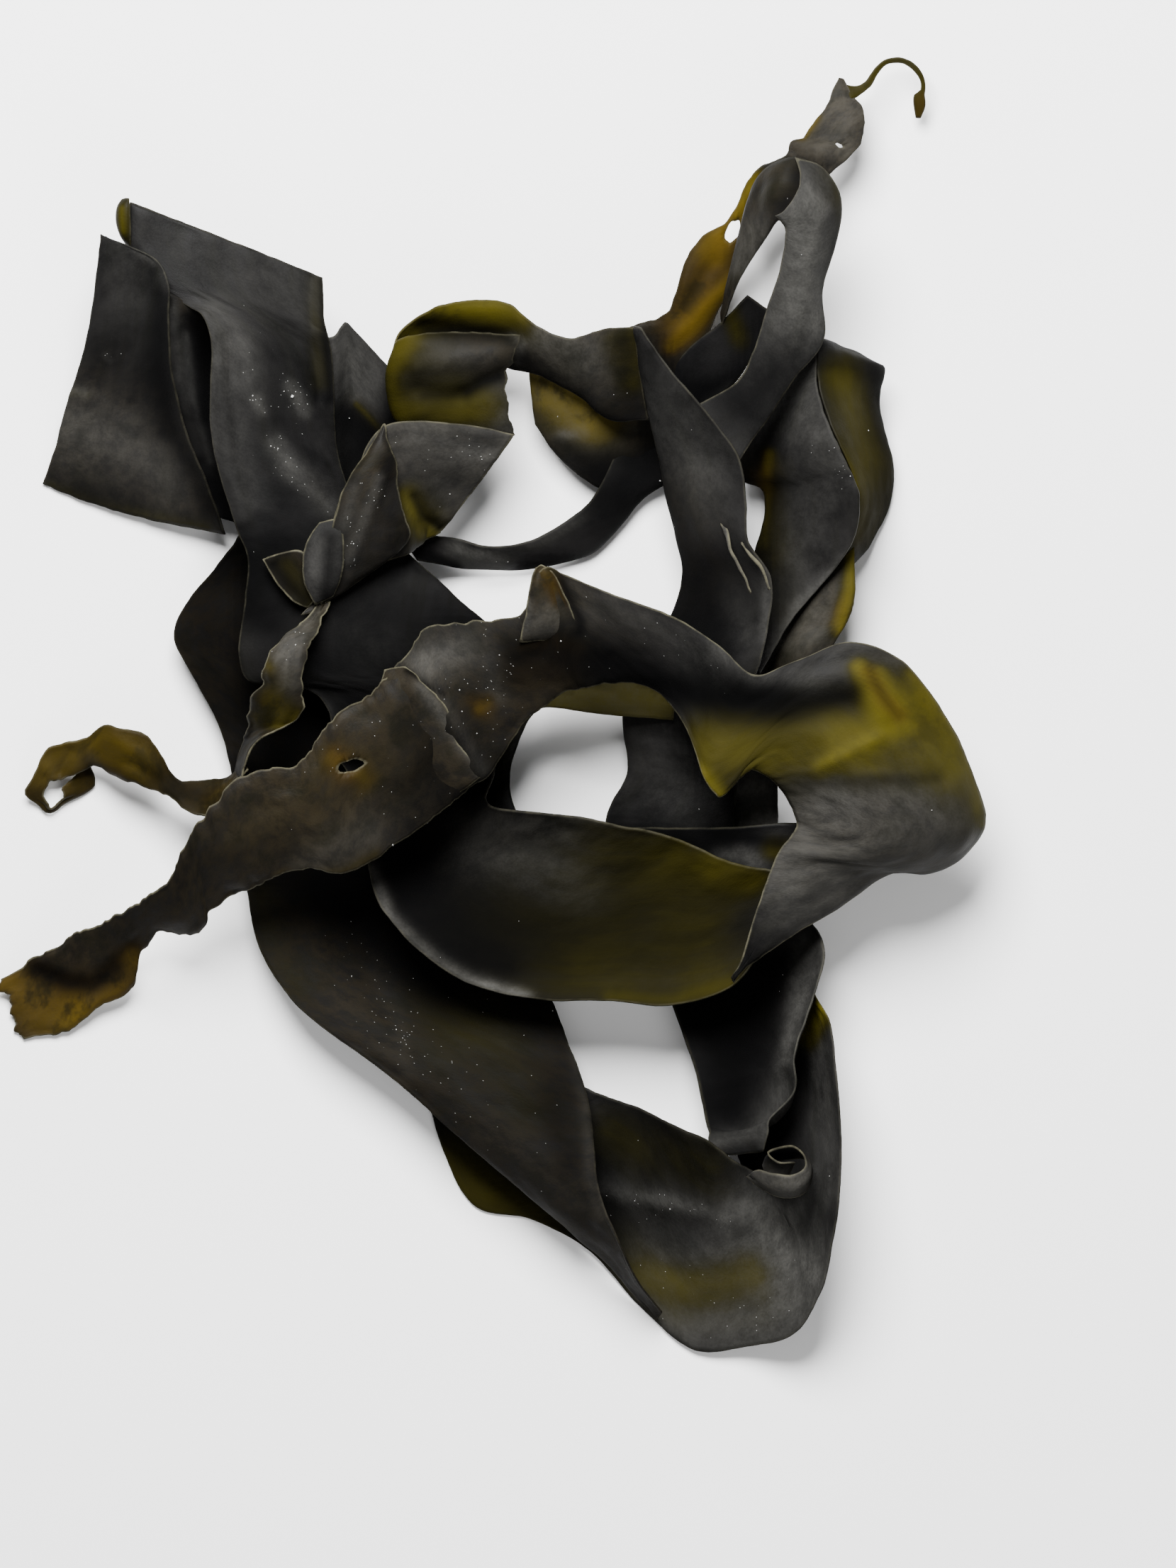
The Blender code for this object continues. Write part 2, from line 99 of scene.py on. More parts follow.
STRAPS = {
    # The broad cut flap on the left, whose right side folds down under the palm.
    "left_flap": {
        "stations": [
            (-111.4, 134, 30, -110, 133.4, 31, 0), (-111.6, 131, 29.5, -102.8, 130.4, 34, 0),
            (-112, 126.4, 28, -95.6, 126.4, 37, -0.5), (-112.8, 120, 26, -92.6, 120, 38, -1),
            (-114, 112, 22.5, -92.8, 112, 37.5, -1.5), (-115.6, 104, 19, -92.6, 102, 36, -2),
            (-118.4, 94, 14, -91.2, 91, 33, -2.5), (-121.6, 84.4, 9, -88.4, 80, 28, -2.5),
            (-124.2, 75, 5, -83.4, 68, 21, -2), (-126.8, 67, 2, -79, 57, 14, -1),
            (-128, 63.6, 0.8, -76.4, 49.4, 9, -0.5),
        ],
        "frill": 0.3, "rim": 0.35, "wrinkle": 0.7, "ends": ((0, 0.1), (2.6, 0.15)),
        "glow": [0, (0.34, 3, -125.6, 62, -110, 57, -96, 54, -82, 51),
            (0.32, 2, -120.8, 89.6, -115.6, 88.8)],
        "brown": [0, (0.5, 14, -118, 80, -104, 72, -88, 60)],
        "bloom_and_sheen": [0.1, (0.6, 9, -118, 80, -104, 74, -92, 65.6), (0.2, 8, -105, 127, -104, 116),
            (0.6, 1.2, -120.4, 90, -116.4, 89.4), (0.3, 1, -102, 129.6, -94.4, 125.2, -92.6, 118)],
        "salt": [0, (0.6, 1.4, -110, 100, -108.8, 98.4)],
        "painted_shade": [0, (0.85, 4, -94.6, 116, -94.8, 96, -92, 80, -86.4, 70, -80, 57),
            (0.35, 10, -114, 102, -100, 102), (0.5, 5, -116, 62, -102, 60)],
        "creases": [(1, 2.5, -120.4, 89, -112, 87.6, -102, 80),
            (-1, 5, -122, 72, -108, 65, -94, 60), (0.8, 6, -108, 128, -110, 104),
            (-1, 4, -95.6, 116, -95.6, 96, -91, 78)],
    },
    # The pleat between the flap and the palm.
    "pleat": {
        "stations": [
            (-92.8, 117.6, 34, -87.6, 115, 33, 0), (-92.6, 113, 33, -82.4, 111.2, 31, 0),
            (-92.4, 106, 32, -80, 104, 22, 0), (-92, 98, 30, -79.6, 96, 15, 0.5),
            (-90.4, 88, 27, -79, 86, 11, 1), (-87.6, 78, 23, -77.6, 76, 10, 1),
            (-83, 67, 18, -75, 65, 10, 1), (-78, 54, 12, -71, 52, 8, 0),
        ],
        "rim": 0.2, "wrinkle": 0.5,
        "brown": [0, (0.7, 3, -86, 114, -81.6, 109.6)],
        "bloom_and_sheen": [0.06, (0.25, 2, -91.4, 112, -90, 100, -87.6, 86),
            (0.4, 1, -87.6, 106, -85.6, 88, -81, 70)],
        "painted_shade": [0, (1, 2.4, -86, 111, -83, 104, -82.4, 94, -82.4, 82),
            (0.8, 3, -91.4, 88, -87.6, 76, -80, 60)],
        "creases": [(0.8, 2, -90.8, 112, -88.8, 92, -84, 72)],
    },
    # The palm from its cut edge to the centre, and the broad hollow strap that goes on from it.
    "palm": {
        "stations": [
            (-103.4, 143.2, 31, -49, 121.8, 27, 1.5), (-103.6, 133, 31, -48.8, 115, 27, 2),
            (-100.4, 123, 31.5, -48.4, 109, 26.5, 2.5), (-92, 116.6, 32.5, -47.2, 104.4, 25.5, 3),
            (-86.4, 113.2, 33.5, -46.4, 100, 24, 3), (-82.4, 109.6, 34.5, -46, 95, 23, 3),
            (-80.4, 103, 35, -45.8, 88, 22, 3.5), (-80.6, 92, 35, -45.6, 80, 21.5, 3.5),
            (-80.8, 82, 34.5, -45, 74, 21, 3), (-79.4, 72, 33.5, -43.4, 67, 21, 3),
            (-76.4, 61, 32, -40, 59, 20, 3), (-73.2, 51, 31, -33, 51, 19, 3),
            (-70, 42, 29, -22, 41.4, 18, 3), (-71, 30, 28, -11, 31.4, 19, 3),
            (-72.6, 16, 26, 0, 21, 20, 3), (-70, 8, 24, 2, 15, 20, 3),
            (-61, 6.8, 22.5, 3, 9, 20, 3), (-52, 5.2, 21.5, 3.2, 3, 19.5, 2.5),
            (-47.4, 0, 20.5, 3.2, -2, 19, 2), (-46.6, -6, 19.5, 2.4, -8, 19, 1),
            (-47.6, -12.4, 17, 1.2, -13, 19, 0), (-42, -18, 14, -0.6, -18, 19, -3),
            (-37, -38, 18, -2, -27, 24, -7), (-33.6, -54, 24, 12, -29.4, 28, -10),
            (-23, -67.4, 26, 24, -30.4, 29, -10), (-7, -78, 27, 34.4, -33, 30, -10),
            (12, -82, 27, 45, -35, 30, -10), (32, -82.4, 27, 55.4, -38.4, 31, -9),
            (50, -83.4, 27, 66, -43, 32, -7), (66, -78.4, 28, 77, -45.4, 32, -4),
            (75, -68, 33, 86, -47, 37, -2),
        ],
        "frill": 0.35, "rim": 0.45,
        "glow": [0, (0.3, 3.5, -51.2, 121, -50.4, 104, -49.6, 92), (0.34, 22, 32, -52, 36, -68),
            (0.36, 16, 52, -46, 58, -64, 64, -76), (0.3, 20, 0, -60, 20, -72),
            (0.55, 5, 62, -45.6, 72, -47.6), (0.34, 2, 32, -81.6, 50, -82, 66, -77.6)],
        "brown": [0, (0.6, 4, -28, -34, -20, -38), (0.3, 30, -12, -56, 40, -68)],
        "bloom_and_sheen": [0.07, (0.22, 9, -94, 134, -76, 123, -66, 119), (0.3, 9, -60, 120, -54, 114),
            (0.45, 4, -80, 112, -73, 104, -70, 94), (0.35, 6, -75, 100, -74, 80, -70, 60),
            (0.7, 2, -58, 91, -55.8, 87, -54.4, 84), (0.95, 1.6, -67.6, 87, -66.4, 84.4),
            (0.75, 2.4, -62.4, 75, -59.6, 70, -57, 66.4), (0.6, 3, -58, 68, -52, 62, -46, 56),
            (0.35, 1.6, -80, 108, -80.6, 88, -80, 72), (0.25, 9, -44, 30, -36, 20),
            (0.5, 1.1, -61, 6.6, -52, 4.8, -47.2, -0.4, -46.8, -6.4, -50, -13),
            (0.6, 7, -8, -41, 8, -45, 24, -51),
            (1, 2.2, -34.6, -45, -30.4, -58, -20, -68, -8, -76.4, 8, -81.6),
            (0.25, 4, -20, -30, 0, -32, 20, -34)],
        "salt": [0, (0.6, 2.5, -58.4, 91, -56, 87, -54.4, 84), (0.9, 1.2, -67.6, 87.4, -66.8, 85.6),
            (0.5, 2.4, -62.4, 75, -59.6, 70, -57, 66.4), (0.12, 6, -68, 100, -64, 88, -58, 80),
            (0.3, 2, -58, 67, -52, 62, -46, 56)],
        "painted_shade": [0, (0.6, 9, -54, 36, -28, 26, 0, 26), (0.4, 16, -28, 20, -12, 10),
            (0.85, 6, -71, 40, -70, 28, -64, 24), (0.6, 12, -74, 42, -56, 40, -40, 8),
            (0.35, 12, -60, 114, -64, 72, -52, 52), (0.7, 1.4, -48.8, 120, -48.4, 106, -46.8, 88),
            (1, 13, -28, -38, -25, -50, -19, -60, -12, -66), (0.4, 26, -4, -68, 20, -75, 52, -78),
            (0.5, 16, -20, -48, -4, -58, 8, -68),
            (0.9, 4, -25.6, -45, -19.2, -56.4, -9.6, -65, 2.4, -72.4),
            (-3, 1.8, -34.6, -45, -30.4, -58, -20, -68.4, -8, -76.8, 8, -81.6)],
        "creases": [(1.2, 2.6, -83.2, 110.4, -78, 102, -77.6, 88, -76, 70, -71, 54),
            (-0.8, 3, -75.6, 104, -73, 80, -68, 60), (0.9, 4, -80, 111, -71, 102, -66, 84, -52, 62),
            (-0.8, 6, -60, 104, -60, 76), (0.6, 5, -68, 134, -69.6, 114),
            (-0.5, 1.4, -52.4, 121, -52, 104, -50, 88), (0.5, 1.2, -50.4, 121, -50, 104, -48, 88),
            (0.5, 4, -8, -41, 16, -46, 30, -52), (1, 3, -33, -48, -28, -60, -16, -70.4, -2, -78.4),
            (0.9, 1.6, -52, 4.4, -48.4, -0.4, -48, -7, -50, -12)],
    },
    # The long strap from under the palm down to the lower loop.
    "long_strap": {
        "stations": [
            (-70, 60, 30, -50, 58, 26.5, 0), (-72, 50, 17, -50, 47, 17, 0),
            (-79.5, 39.5, 8, -54, 34, 9, 0), (-88, 29, 8, -58, 24, 9, 1),
            (-91, 20, 9, -55, 15, 8, 1), (-86.5, 11, 9, -48, 5, 7, 1), (-79, -3, 8, -40, -10, 6, 1),
            (-75, -16, 7, -36, -26, 5, 1), (-73, -34, 6, -30, -40, 4, 1),
            (-70, -53, 8, -18, -54, 4, 0), (-66, -69, 12, -4, -68, 5, -1),
            (-55, -84.5, 16, 13.5, -79, 8, -1), (-31, -103, 18, 21, -96, 14, 3),
            (-10, -121, 18, 26.5, -114, 20, 5), (11, -138.5, 14, 28.5, -132, 26, 4),
            (29, -154, 8, 33.5, -148, 26, 1), (37.6, -163.6, 3, 39.4, -160.6, 17, 0),
            (45.2, -172.4, 0.8, 46.8, -170.4, 6, 0),
        ],
        "ragged": 0.12, "frill": 0.35,
        "glow": [0, (0.3, 7, -65.6, -52, -63, -68, -56, -78), (0.28, 11, -2, -84, 4, -100, 8, -112),
            (0.25, 12, -20, -82, -16, -94)],
        "brown": [0.5, (0.5, 8, -86, 28, -80, 12), (0.4, 12, -52, -76, -32, -88)],
        "bloom_and_sheen": [0.02, (0.15, 2.5, -34, -70, -29, -80, -26, -96, -25, -102),
            (0.15, 5, -44, -84, -30, -96), (0.15, 6, -2, -120, 12, -130, 24, -144),
            (0.3, 3, -12, -128, 4, -140, 20, -148),
            (0.3, 1.8, 20, -84, 25.6, -112, 26.4, -132, 32, -148)],
        "salt": [0, (0.3, 2.5, -34, -74, -29, -84, -26, -96, -24.4, -102),
            (0.12, 7, -40, -72, -28, -92, -16, -100), (0.06, 12, -12, -96, 8, -116)],
        "painted_shade": [0.4, (0.75, 12, -80, 40, -82, 20, -74, 0),
            (0.95, 9, -52, -50, -40, -56, -32, -68, -16, -78), (0.35, 8, 14, -86, 20, -100),
            (0.5, 5, 16, -112, 20, -128)],
        "creases": [(-0.9, 4, -44, -66, -28, -86, -25, -102),
            (0.7, 5, -12, -112, 8, -128, 26, -148), (0.6, 2, 23, -96, 26, -120, 30, -144),
            (-0.7, 5, -12, -92, 8, -116)],
    },
    # The loop at the bottom: from under the long strap, round the front and up the right side.
    "lower_loop": {
        "stations": [
            (-27, -92, 2, -4, -82, 2, 0), (-20.5, -106, 2, 8, -93, 7, -1),
            (-15.5, -123, 1, 16, -102.5, 10, -1), (-6.5, -140, 0.6, 25, -107, 13, -2),
            (10, -144, 0.6, 32.5, -110, 16, -3), (27, -153.5, 0.6, 41, -113, 18, -4),
            (41, -169, 0.6, 50, -117.5, 20, -5), (56, -180.8, 1.5, 60, -122, 22, -7),
            (70, -180, 5, 68, -128, 20, -7), (84, -176, 14, 74, -131, 14, -6),
            (91.6, -164, 24, 69, -128, 8, -5), (95, -150, 32, 68, -121, 6, -4),
            (97, -134, 37, 72, -113, 4, -3), (97, -116, 38, 80, -103, 4, -2),
            (95.5, -98, 36, 80, -92, 4, -2), (94, -88, 31, 78.8, -80, 4, -1.5),
            (90, -80.6, 22, 76, -72.4, 4, -1), (85.6, -68, 11, 72, -58, 5, 0),
            (80, -46, 12, 67, -42, 6, 0), (79.5, -24.5, 13, 65.5, -27, 10, 0),
            (80, -14, 15, 66, -16, 11, 0),
        ],
        "ragged": 0.12, "frill": 0.35,
        "glow": [0, (0.5, 12, -12, -128, 0, -138, 12, -144),
            (0.34, 10, 34, -120, 46, -124, 60, -130),
            (0.52, 5, 41, -160, 52, -162.4, 62, -161.2, 72, -158),
            (0.36, 12, 36, -154, 52, -166, 72, -164), (0.95, 4.5, 87.2, -91.6, 91.2, -84)],
        "brown": [0, (0.5, 9, 70, -26, 76, -30)],
        "bloom_and_sheen": [0.06, (0.95, 1.8, 30, -135.6, 38, -138, 50, -139.4, 66, -144.4),
            (0.35, 4, 30, -134, 40, -138, 52, -141), (1, 9, 70, -26, 76, -30),
            (0.8, 12, 44, -158, 68, -160), (0.4, 9, 48, -176, 68, -178, 86, -170),
            (1, 10, 75, -142, 82, -152, 88, -160), (0.5, 5, 93, -96, 94, -116, 95, -136)],
        "salt": [0, (0.45, 1.6, 30, -136, 38, -138.4, 50, -139.8, 66, -144.4),
            (0.06, 12, 40, -160, 60, -172, 80, -166)],
        "painted_shade": [0.1, (0.35, 5, 36, -112, 52, -118, 64, -122),
            (0.5, 6, 30, -143, 40, -146, 52, -148), (-4, 14, 69, -26, 77, -31),
            (-1.5, 10, 75, -142, 82, -152, 88, -160), (0.5, 2, 90, -138, 88, -148, 88, -158),
            (0.35, 9, 90, -88, 90, -108, 90, -132), (-1.5, 9, 93, -96, 94, -112, 94, -128),
            (-2, 5, 87.2, -91.6, 91.2, -84)],
        "creases": [(-1, 4, 30, -140, 48, -145, 66, -146), (0.9, 4, 32, -135, 50, -138.4, 68, -145),
            (0.8, 6, 72, -144, 84, -158), (-0.6, 5, 40, -168, 68, -168)],
    },
    # The frayed blade on top, its ridge in the middle, and the big loop that comes back at right.
    "top_blade": {
        "stations": [
            (-140, -77, 3, -132, -94.5, 1, 0), (-128, -69, 9, -120.4, -90.2, 2, 0),
            (-118.4, -64.2, 14, -111.6, -84.4, 4.5, 0), (-110.8, -60, 19, -103.4, -78.8, 6, 0),
            (-104.8, -56.6, 25, -101, -70.4, 10, 0), (-98.8, -53, 29, -95.6, -63.2, 15, 0.5),
            (-93.8, -49.8, 32, -87.6, -63, 19, 1), (-90, -42.8, 36, -81.6, -60.6, 22, 1),
            (-86.8, -36.4, 39, -80.4, -56, 25.5, 1), (-81.5, -30, 42, -70, -50, 30, 2),
            (-71, -19, 44, -56, -45.5, 34, 2), (-55, -14, 44, -42, -46, 36, 2),
            (-45, -2, 45, -27, -37.5, 37, 3), (-32, 7, 45, -14, -28, 38, 4),
            (-20, 21.5, 44, -2, -17, 39, 5), (-8, 24.5, 44, 9, -3, 40, 4),
            (4, 26, 46, 19, 4.5, 41, 3), (9, 29, 50, 23, 5.6, 41.5, 2),
            (13, 39.6, 55, 27, 6.6, 42, 2), (20, 37.6, 52, 31.6, 7.2, 39, 2),
            (34, 32, 50, 40.6, 6.6, 36, 2), (50, 26, 48, 49.5, -0.5, 36, 0),
            (62.5, 18.5, 43, 55, -9, 37, 0), (73, 9.5, 40, 58.5, -19, 37, 0),
            (86, 14, 44, 63, -25, 37, 1), (100, 19, 48, 67, -20.5, 37, 2),
            (114.5, 13.5, 46, 71.5, -17, 38, 5), (127, -2.5, 38, 77, -19, 38, 10),
            (135, -20, 30, 81, -23.5, 38, 14), (137.5, -34, 24, 84, -29, 38, 14),
            (127, -44.5, 22, 84.5, -34, 38, 11), (111, -46.5, 26, 80, -40, 38, 6),
            (96, -56.5, 30, 76.5, -48, 38, 3), (82, -65, 33, 73, -58, 38, 1),
            (70, -73, 33, 69.5, -70, 37, 0), (67.2, -77.2, 30, 66.4, -75.6, 31, 0),
        ],
        "ragged": 0.12, "frill": 0.6, "rim": 0.9, "wrinkle": 1, "ends": ((0.5, 1.6), (0, 0.1)),
        "frays": [(0.85, 22, -140, -84, -108, -70, -60, -30, -28, -8, -12, 8)],
        "glow": [0, (0.7, 11, -138, -77, -128, -85, -118, -86),
            (0.62, 5, -118, -86, -108, -80, -102.4, -70), (0.22, 18, -68, -38, -46, -26, -28, -12),
            (0.5, 2.4, -5, 0, -2, 2), (0.4, 4, -46, -14, -38, -19),
            (0.3, 2, -60, -47, -42, -45.6, -34, -41), (0.55, 3, 13.6, 38.8, 16, 34.4),
            (0.35, 3, 9, 17.6, 16, 19.4, 23, 17), (0.3, 8, 8, 10, 20, 10),
            (0.25, 3, -7.2, 3, -2.4, -1.6), (0.42, 9, 62, -10, 78, -12, 94, -6),
            (0.36, 14, 62, -12, 100, -12), (0.36, 6, 104, -15, 124, -15.6),
            (1, 3, 102.4, 11.6, 106, 3, 111.2, -5.6), (0.8, 2.4, 108, 10, 112.8, 2, 116.4, -4.4),
            (0.6, 5, 108, -5, 98, -9), (0.95, 2.2, 92, -16.6, 100, -12, 107, -9),
            (0.8, 2.4, 58, -18, 63, -24), (0.62, 2, 118, 10, 128, -4, 135.6, -22, 136.8, -32),
            (0.72, 10, 120, 3, 125.6, -6, 129, -14), (0.28, 9, 128, -20, 134, -32)],
        "amber": [0, (0.9, 22, -136, -80, -108, -78), (0.5, 26, -74, -42, -46, -26, -24, -4),
            (0.9, 3.5, -44.4, -12.4, -43.2, -19), (0.7, 5, 13.6, 38.8, 18, 30, 16, 18),
            (0.9, 12, 8, 12, 20, 14, 30, 12), (0.8, 4, -7.2, 3.6, -2, -2.4),
            (0.5, 2, 105.2, 10.4, 109.2, 3.2, 113.6, -1.6)],
        "brown": [0, (0.85, 26, -92, -50, -56, -26, -28, -2, 0, 10),
            (0.9, 16, -132, -84, -110, -76), (0.8, 4, -128, -80, -118, -83, -110, -80),
            (0.9, 4, 13.6, 38.8, 16.4, 34, 19.2, 30), (0.35, 10, 110, 14, 122, -2),
            (0.6, 20, 92, -32, 120, -30)],
        "bloom_and_sheen": [0.1, (0.25, 8, -136, -80, -126, -88), (0.35, 3, -114, -81, -106, -75),
            (0.9, 6, -20, 14, -10, 17), (0.45, 3, -2, 14, 0, 4),
            (0.5, 2, -20, 9, -12, -3, -4, -17.6), (0.3, 5, -54, -45, -46, -40, -36, -34),
            (0.3, 5, 8, 26, 12, 30), (0.25, 6, 24, 30, 40, 25, 52, 19, 62, 13),
            (0.5, 3, 63, 17.6, 72, 10, 90, 7.6), (0.26, 10, 96, 15, 112, 14),
            (0.4, 9, 120, -18, 129, -24), (0.6, 14, 92, -30, 106, -32, 118, -34),
            (0.6, 4, 93, -26, 99, -28), (0.6, 9, 83, -44, 84, -54, 96, -48)],
        "salt": [0, (0.6, 1.2, -3.2, 22.8, -2.4, 21.6), (0.45, 1.6, -2, 8.4, -2, 0),
            (0.1, 6, -12, 14, 0, 8, -2, -6), (0.1, 14, -40, -12, -12, -16, 4, 20),
            (0.1, 7, 32, 30, 44, 22, 62, 14)],
        "painted_shade": [0, (0.45, 9, -104, -62, -92, -52, -80, -38),
            (0.4, 7, -28, -26, -18, -18, -12, -12),
            (0.95, 3.4, -130, -73.2, -122, -77, -114, -78.4, -107, -73), (0.5, 8, -10, 20, -2, 10),
            (0.35, 9, -12, 0, -4, -8), (0.5, 10, -22, -6, -18, -16, -10, -22),
            (0.95, 1, -26.4, 11, -22, 7.6, -17.6, 5.6, -14.8, 4),
            (0.95, 9, 7, 15, 18, 16, 25, 14, 30, 10), (0.5, 3, 10, 20, 20, 20.8),
            (0.9, 1.6, 18.6, 35.6, 21.2, 30, 24, 24.4, 23.6, 21.6),
            (0.5, 3, -28, 14, -22, 19, -12, 22), (0.4, 8, -12, -8, -9, -18),
            (1, 6, 28, 13, 40, 11, 52, 5, 68, 2.4, 80, 1.6), (0.85, 3.5, 78, 1.6, 90, 2, 100, 4.4),
            (0.45, 1.5, 105.2, 10.8, 109.2, 3.2, 113.6, -2),
            (0.6, 2.2, 80, -22.4, 96, -20.8, 124, -19.6)],
        "creases": [(1.4, 3, -20, 9, -12, -3, -4, -18), (-1.2, 2.2, -26.4, 11, -21, 7.4, -14.8, 4),
            (-1.6, 3, -130, -73.2, -122, -77, -114, -78.4, -103, -67),
            (-1.2, 2, 18.6, 35.6, 21.2, 30, 24, 22), (1, 3, 22.4, 24, 26, 22, 30, 17),
            (1.6, 4.5, 60, 19, 70, 10.4, 90, 8, 100, 9), (-1.6, 6, 46, 3, 68, 0, 92, 0),
            (1, 2, 90, -17, 100, -12, 108, -8.4), (-0.8, 3, 92, -20, 108, -16, 126, -19),
            (0.9, 2.2, 102, 12, 106.4, 3, 109, -2), (0.8, 3, 85.6, -36, 88.4, -47),
            (-0.7, 5, -50, -30, -32, -20), (0.9, 5, -80, -42, -60, -30),
            (0.8, 4, -12, 14, 0, 13, 7, 19)],
        "holes": [(-41, -16, 3.4, 1.7, 12)],
    },
    # The corner of the top blade that folds down over itself.
    "corner_fold": {
        "stations": [
            (11.2, 40, 54, 15.8, 38.8, 55, 0), (10, 36.4, 54.5, 18.2, 35.2, 54, 0.5),
            (9, 31.6, 54, 20.2, 30.8, 52, 1), (8.2, 26.4, 52.5, 22, 26.4, 50.5, 1),
            (7.4, 22.4, 51, 23.4, 22.4, 49, 0.5), (6.2, 18.8, 49, 24.4, 21.4, 48, 0),
        ],
        "ragged": 0.25, "frill": 0.4, "rim": 1, "ends": ((1.2, 0.2), (0.3, 0.3)),
        "glow": [0, (0.5, 3.5, 13.6, 38.8, 16, 35, 18, 31)],
        "amber": [0, (0.95, 6, 13.6, 38.8, 17, 30)],
        "brown": [0.5, (0.9, 6, 13.6, 38.8, 17, 30)],
        "bloom_and_sheen": [0.1, (0.5, 5, 11, 24, 16, 26), (0.5, 1.2, 9, 30, 7.6, 22)],
        "painted_shade": [0, (0.6, 2, 19.2, 33, 21.2, 27.6, 23, 23)],
        "creases": [(-0.7, 1.6, 17, 34, 19, 28, 21, 22)],
    },
    # The fold across the top blade, whose edge stands up.
    "ridge_flap": {
        "stations": [
            (-32, 11, 44, -25.8, 12, 46, 0), (-32.8, 5, 44, -20.4, 7.6, 47.8, 0.8),
            (-31, -2, 43, -15.6, 3, 48, 1), (-27.6, -9, 42, -12.6, -4, 46.8, 1),
            (-24, -15, 41, -10.4, -9, 45.5, 1), (-19.4, -20.6, 40, -7.2, -13.6, 44, 0.8),
            (-12, -24.4, 38.5, -3, -18.2, 41.5, 0.3),
        ],
        "ragged": 0.5, "frill": 0.4, "rim": 1,
        "bloom_and_sheen": [0.12, (0.6, 2, -20.8, 6.4, -13.6, -4, -4, -17.2)],
        "salt": [0, (0.2, 4, -28, 0, -22, -8)],
        "painted_shade": [0, (0.9, 1, -25, 10.8, -20, 8, -15.2, 3.6), (0.3, 5, -28, 0, -20, -10)],
        "brown": [0.7],
    },
    # The rolled lip where the lower loop turns up.
    "knot_lip": {
        "stations": [
            (70.2, -132, 17, 70.8, -131.4, 18, 0), (73.2, -134.6, 25, 74.2, -130, 29, 1),
            (77.2, -136.8, 28, 77.8, -131, 33, 1.5), (82.4, -138, 30, 83.2, -131.4, 35, 2),
            (87.6, -136.4, 31, 87.2, -129, 37, 1.5), (89.6, -131, 30, 86.8, -125.2, 37, 1),
            (87.2, -126.8, 27, 83.6, -123, 35, 0.5), (81.6, -127.2, 23, 80, -123.4, 31, 0),
            (76.6, -128.8, 21, 76.4, -125.2, 30, 0), (78, -131.6, 22, 79.6, -128, 31, 0),
            (82.4, -131.2, 23, 84.4, -128, 30, 0),
        ],
        "ragged": 0.15, "frill": 0.4, "rim": 0.8, "wrinkle": 1.2,
        "brown": [0.3, (0.9, 4, 78, -128.4, 84, -129)],
        "bloom_and_sheen": [0.35, (0.6, 2, 72, -132, 82, -132, 88, -130),
            (0.9, 3, 78.4, -129.2, 83.6, -129.2), (0.6, 3, 82, -136.8, 88.4, -133)],
        "painted_shade": [0, (1, 2.5, 77, -126.4, 80, -124.4, 85, -124.4)],
    },
    # The strap that hangs from the fold at the top, goes under the top blade and on to the knot.
    "middle_strap": {
        "stations": [
            (39, 108, 40, 41, 107.5, 42, 0), (39.5, 96, 30, 49, 96, 43, 1),
            (43, 84, 24, 59, 84, 43, 1), (46, 72, 20, 68, 71.5, 43, 1),
            (48, 60, 18, 70, 59.5, 43, 2), (51, 48.5, 18, 71, 47.5, 42, 2),
            (52.5, 38.5, 18, 77.5, 37.5, 40, 2), (50, 27.5, 17, 77, 24, 39, 1),
            (43, 15, 14, 73.5, 10, 38, 0), (36, 0, 10, 67, -6, 24, 0),
            (37, -17, 8, 68, -20, 16, -1), (31, -31, 6, 67.5, -34, 12, -1),
            (33, -48, 4, 74, -46, 9, -1), (44, -69, 6, 87, -58, 16, -5),
            (49.5, -83, 10, 92.5, -68, 26, -10), (53.5, -94, 12, 89, -82, 30, -12),
            (57, -106, 13, 84, -97, 30, -12), (59, -116, 14, 84.5, -107, 28, -10),
            (60, -119.6, 19, 77.6, -115.2, 27, -3), (60.2, -122.8, 21, 76.8, -119.6, 27, -2),
            (64.4, -126, 20, 75.6, -124.8, 24, 0),
        ],
        "ragged": 0.12, "frill": 0.3, "rim": 0.4, "wrinkle": 0.7,
        "brown": [0, (0.3, 8, 50, 60, 58, 36)],
        "bloom_and_sheen": [0.1, (0.25, 8, 44, 88, 52, 72, 60, 56), (0.3, 10, 50, 82, 57, 70),
            (0.5, 1.5, 72, 60, 77, 40, 76, 20), (0.3, 4, 66, 30, 72, 20),
            (0.25, 12, 44, -8, 52, -26), (0.75, 5, 89, -68, 86, -84, 82.4, -100, 77, -114),
            (0.8, 2.6, 62, -122.4, 72, -119, 77, -118), (0.5, 1.5, 77, -115, 75.6, -123.6)],
        "painted_shade": [0, (0.3, 6, 58, 88, 68, 72, 71, 60), (0.5, 6, 43, 76, 52, 48, 54, 32),
            (0.95, 11, 58, 36, 60, 27, 52, 19), (0.95, 13, 60, -80, 65, -96, 67, -112),
            (-1.5, 7, 88, -70, 85, -86, 80, -106), (0.5, 3, 78, -84, 77, -104)],
        "creases": [(0.8, 5, 46, 88, 58, 60, 62, 36), (-0.6, 4, 68, 72, 74, 48),
            (0.9, 2.5, 84, -76, 81, -96, 74, -116), (-0.8, 4, 72, -80, 72, -108),
            (0.5, 2, 36, -8, 52, -12)],
    },
    # Two torn flakes that lift off the middle strap.
    "torn_flake_long": {
        "stations": [
            (63.2, 52.4, 37.5, 63.8, 52, 38, 0), (64.6, 49.4, 39.8, 65.4, 50, 40.5, 0.4),
            (66, 44.8, 42, 66.4, 45.2, 42.8, 0.5), (68.8, 39.6, 43.5, 69.2, 40, 44, 0.3),
            (72, 32.4, 43, 72.2, 32.6, 43.2, 0),
        ],
        "ragged": 0.35, "frill": 0.8, "rim": 1, "wrinkle": 1, "ends": ((0.2, 0.6), (0.2, 0.6)),
        "brown": [0.2], "bloom_and_sheen": [0.9],
    },
    "torn_flake_short": {
        "stations": [
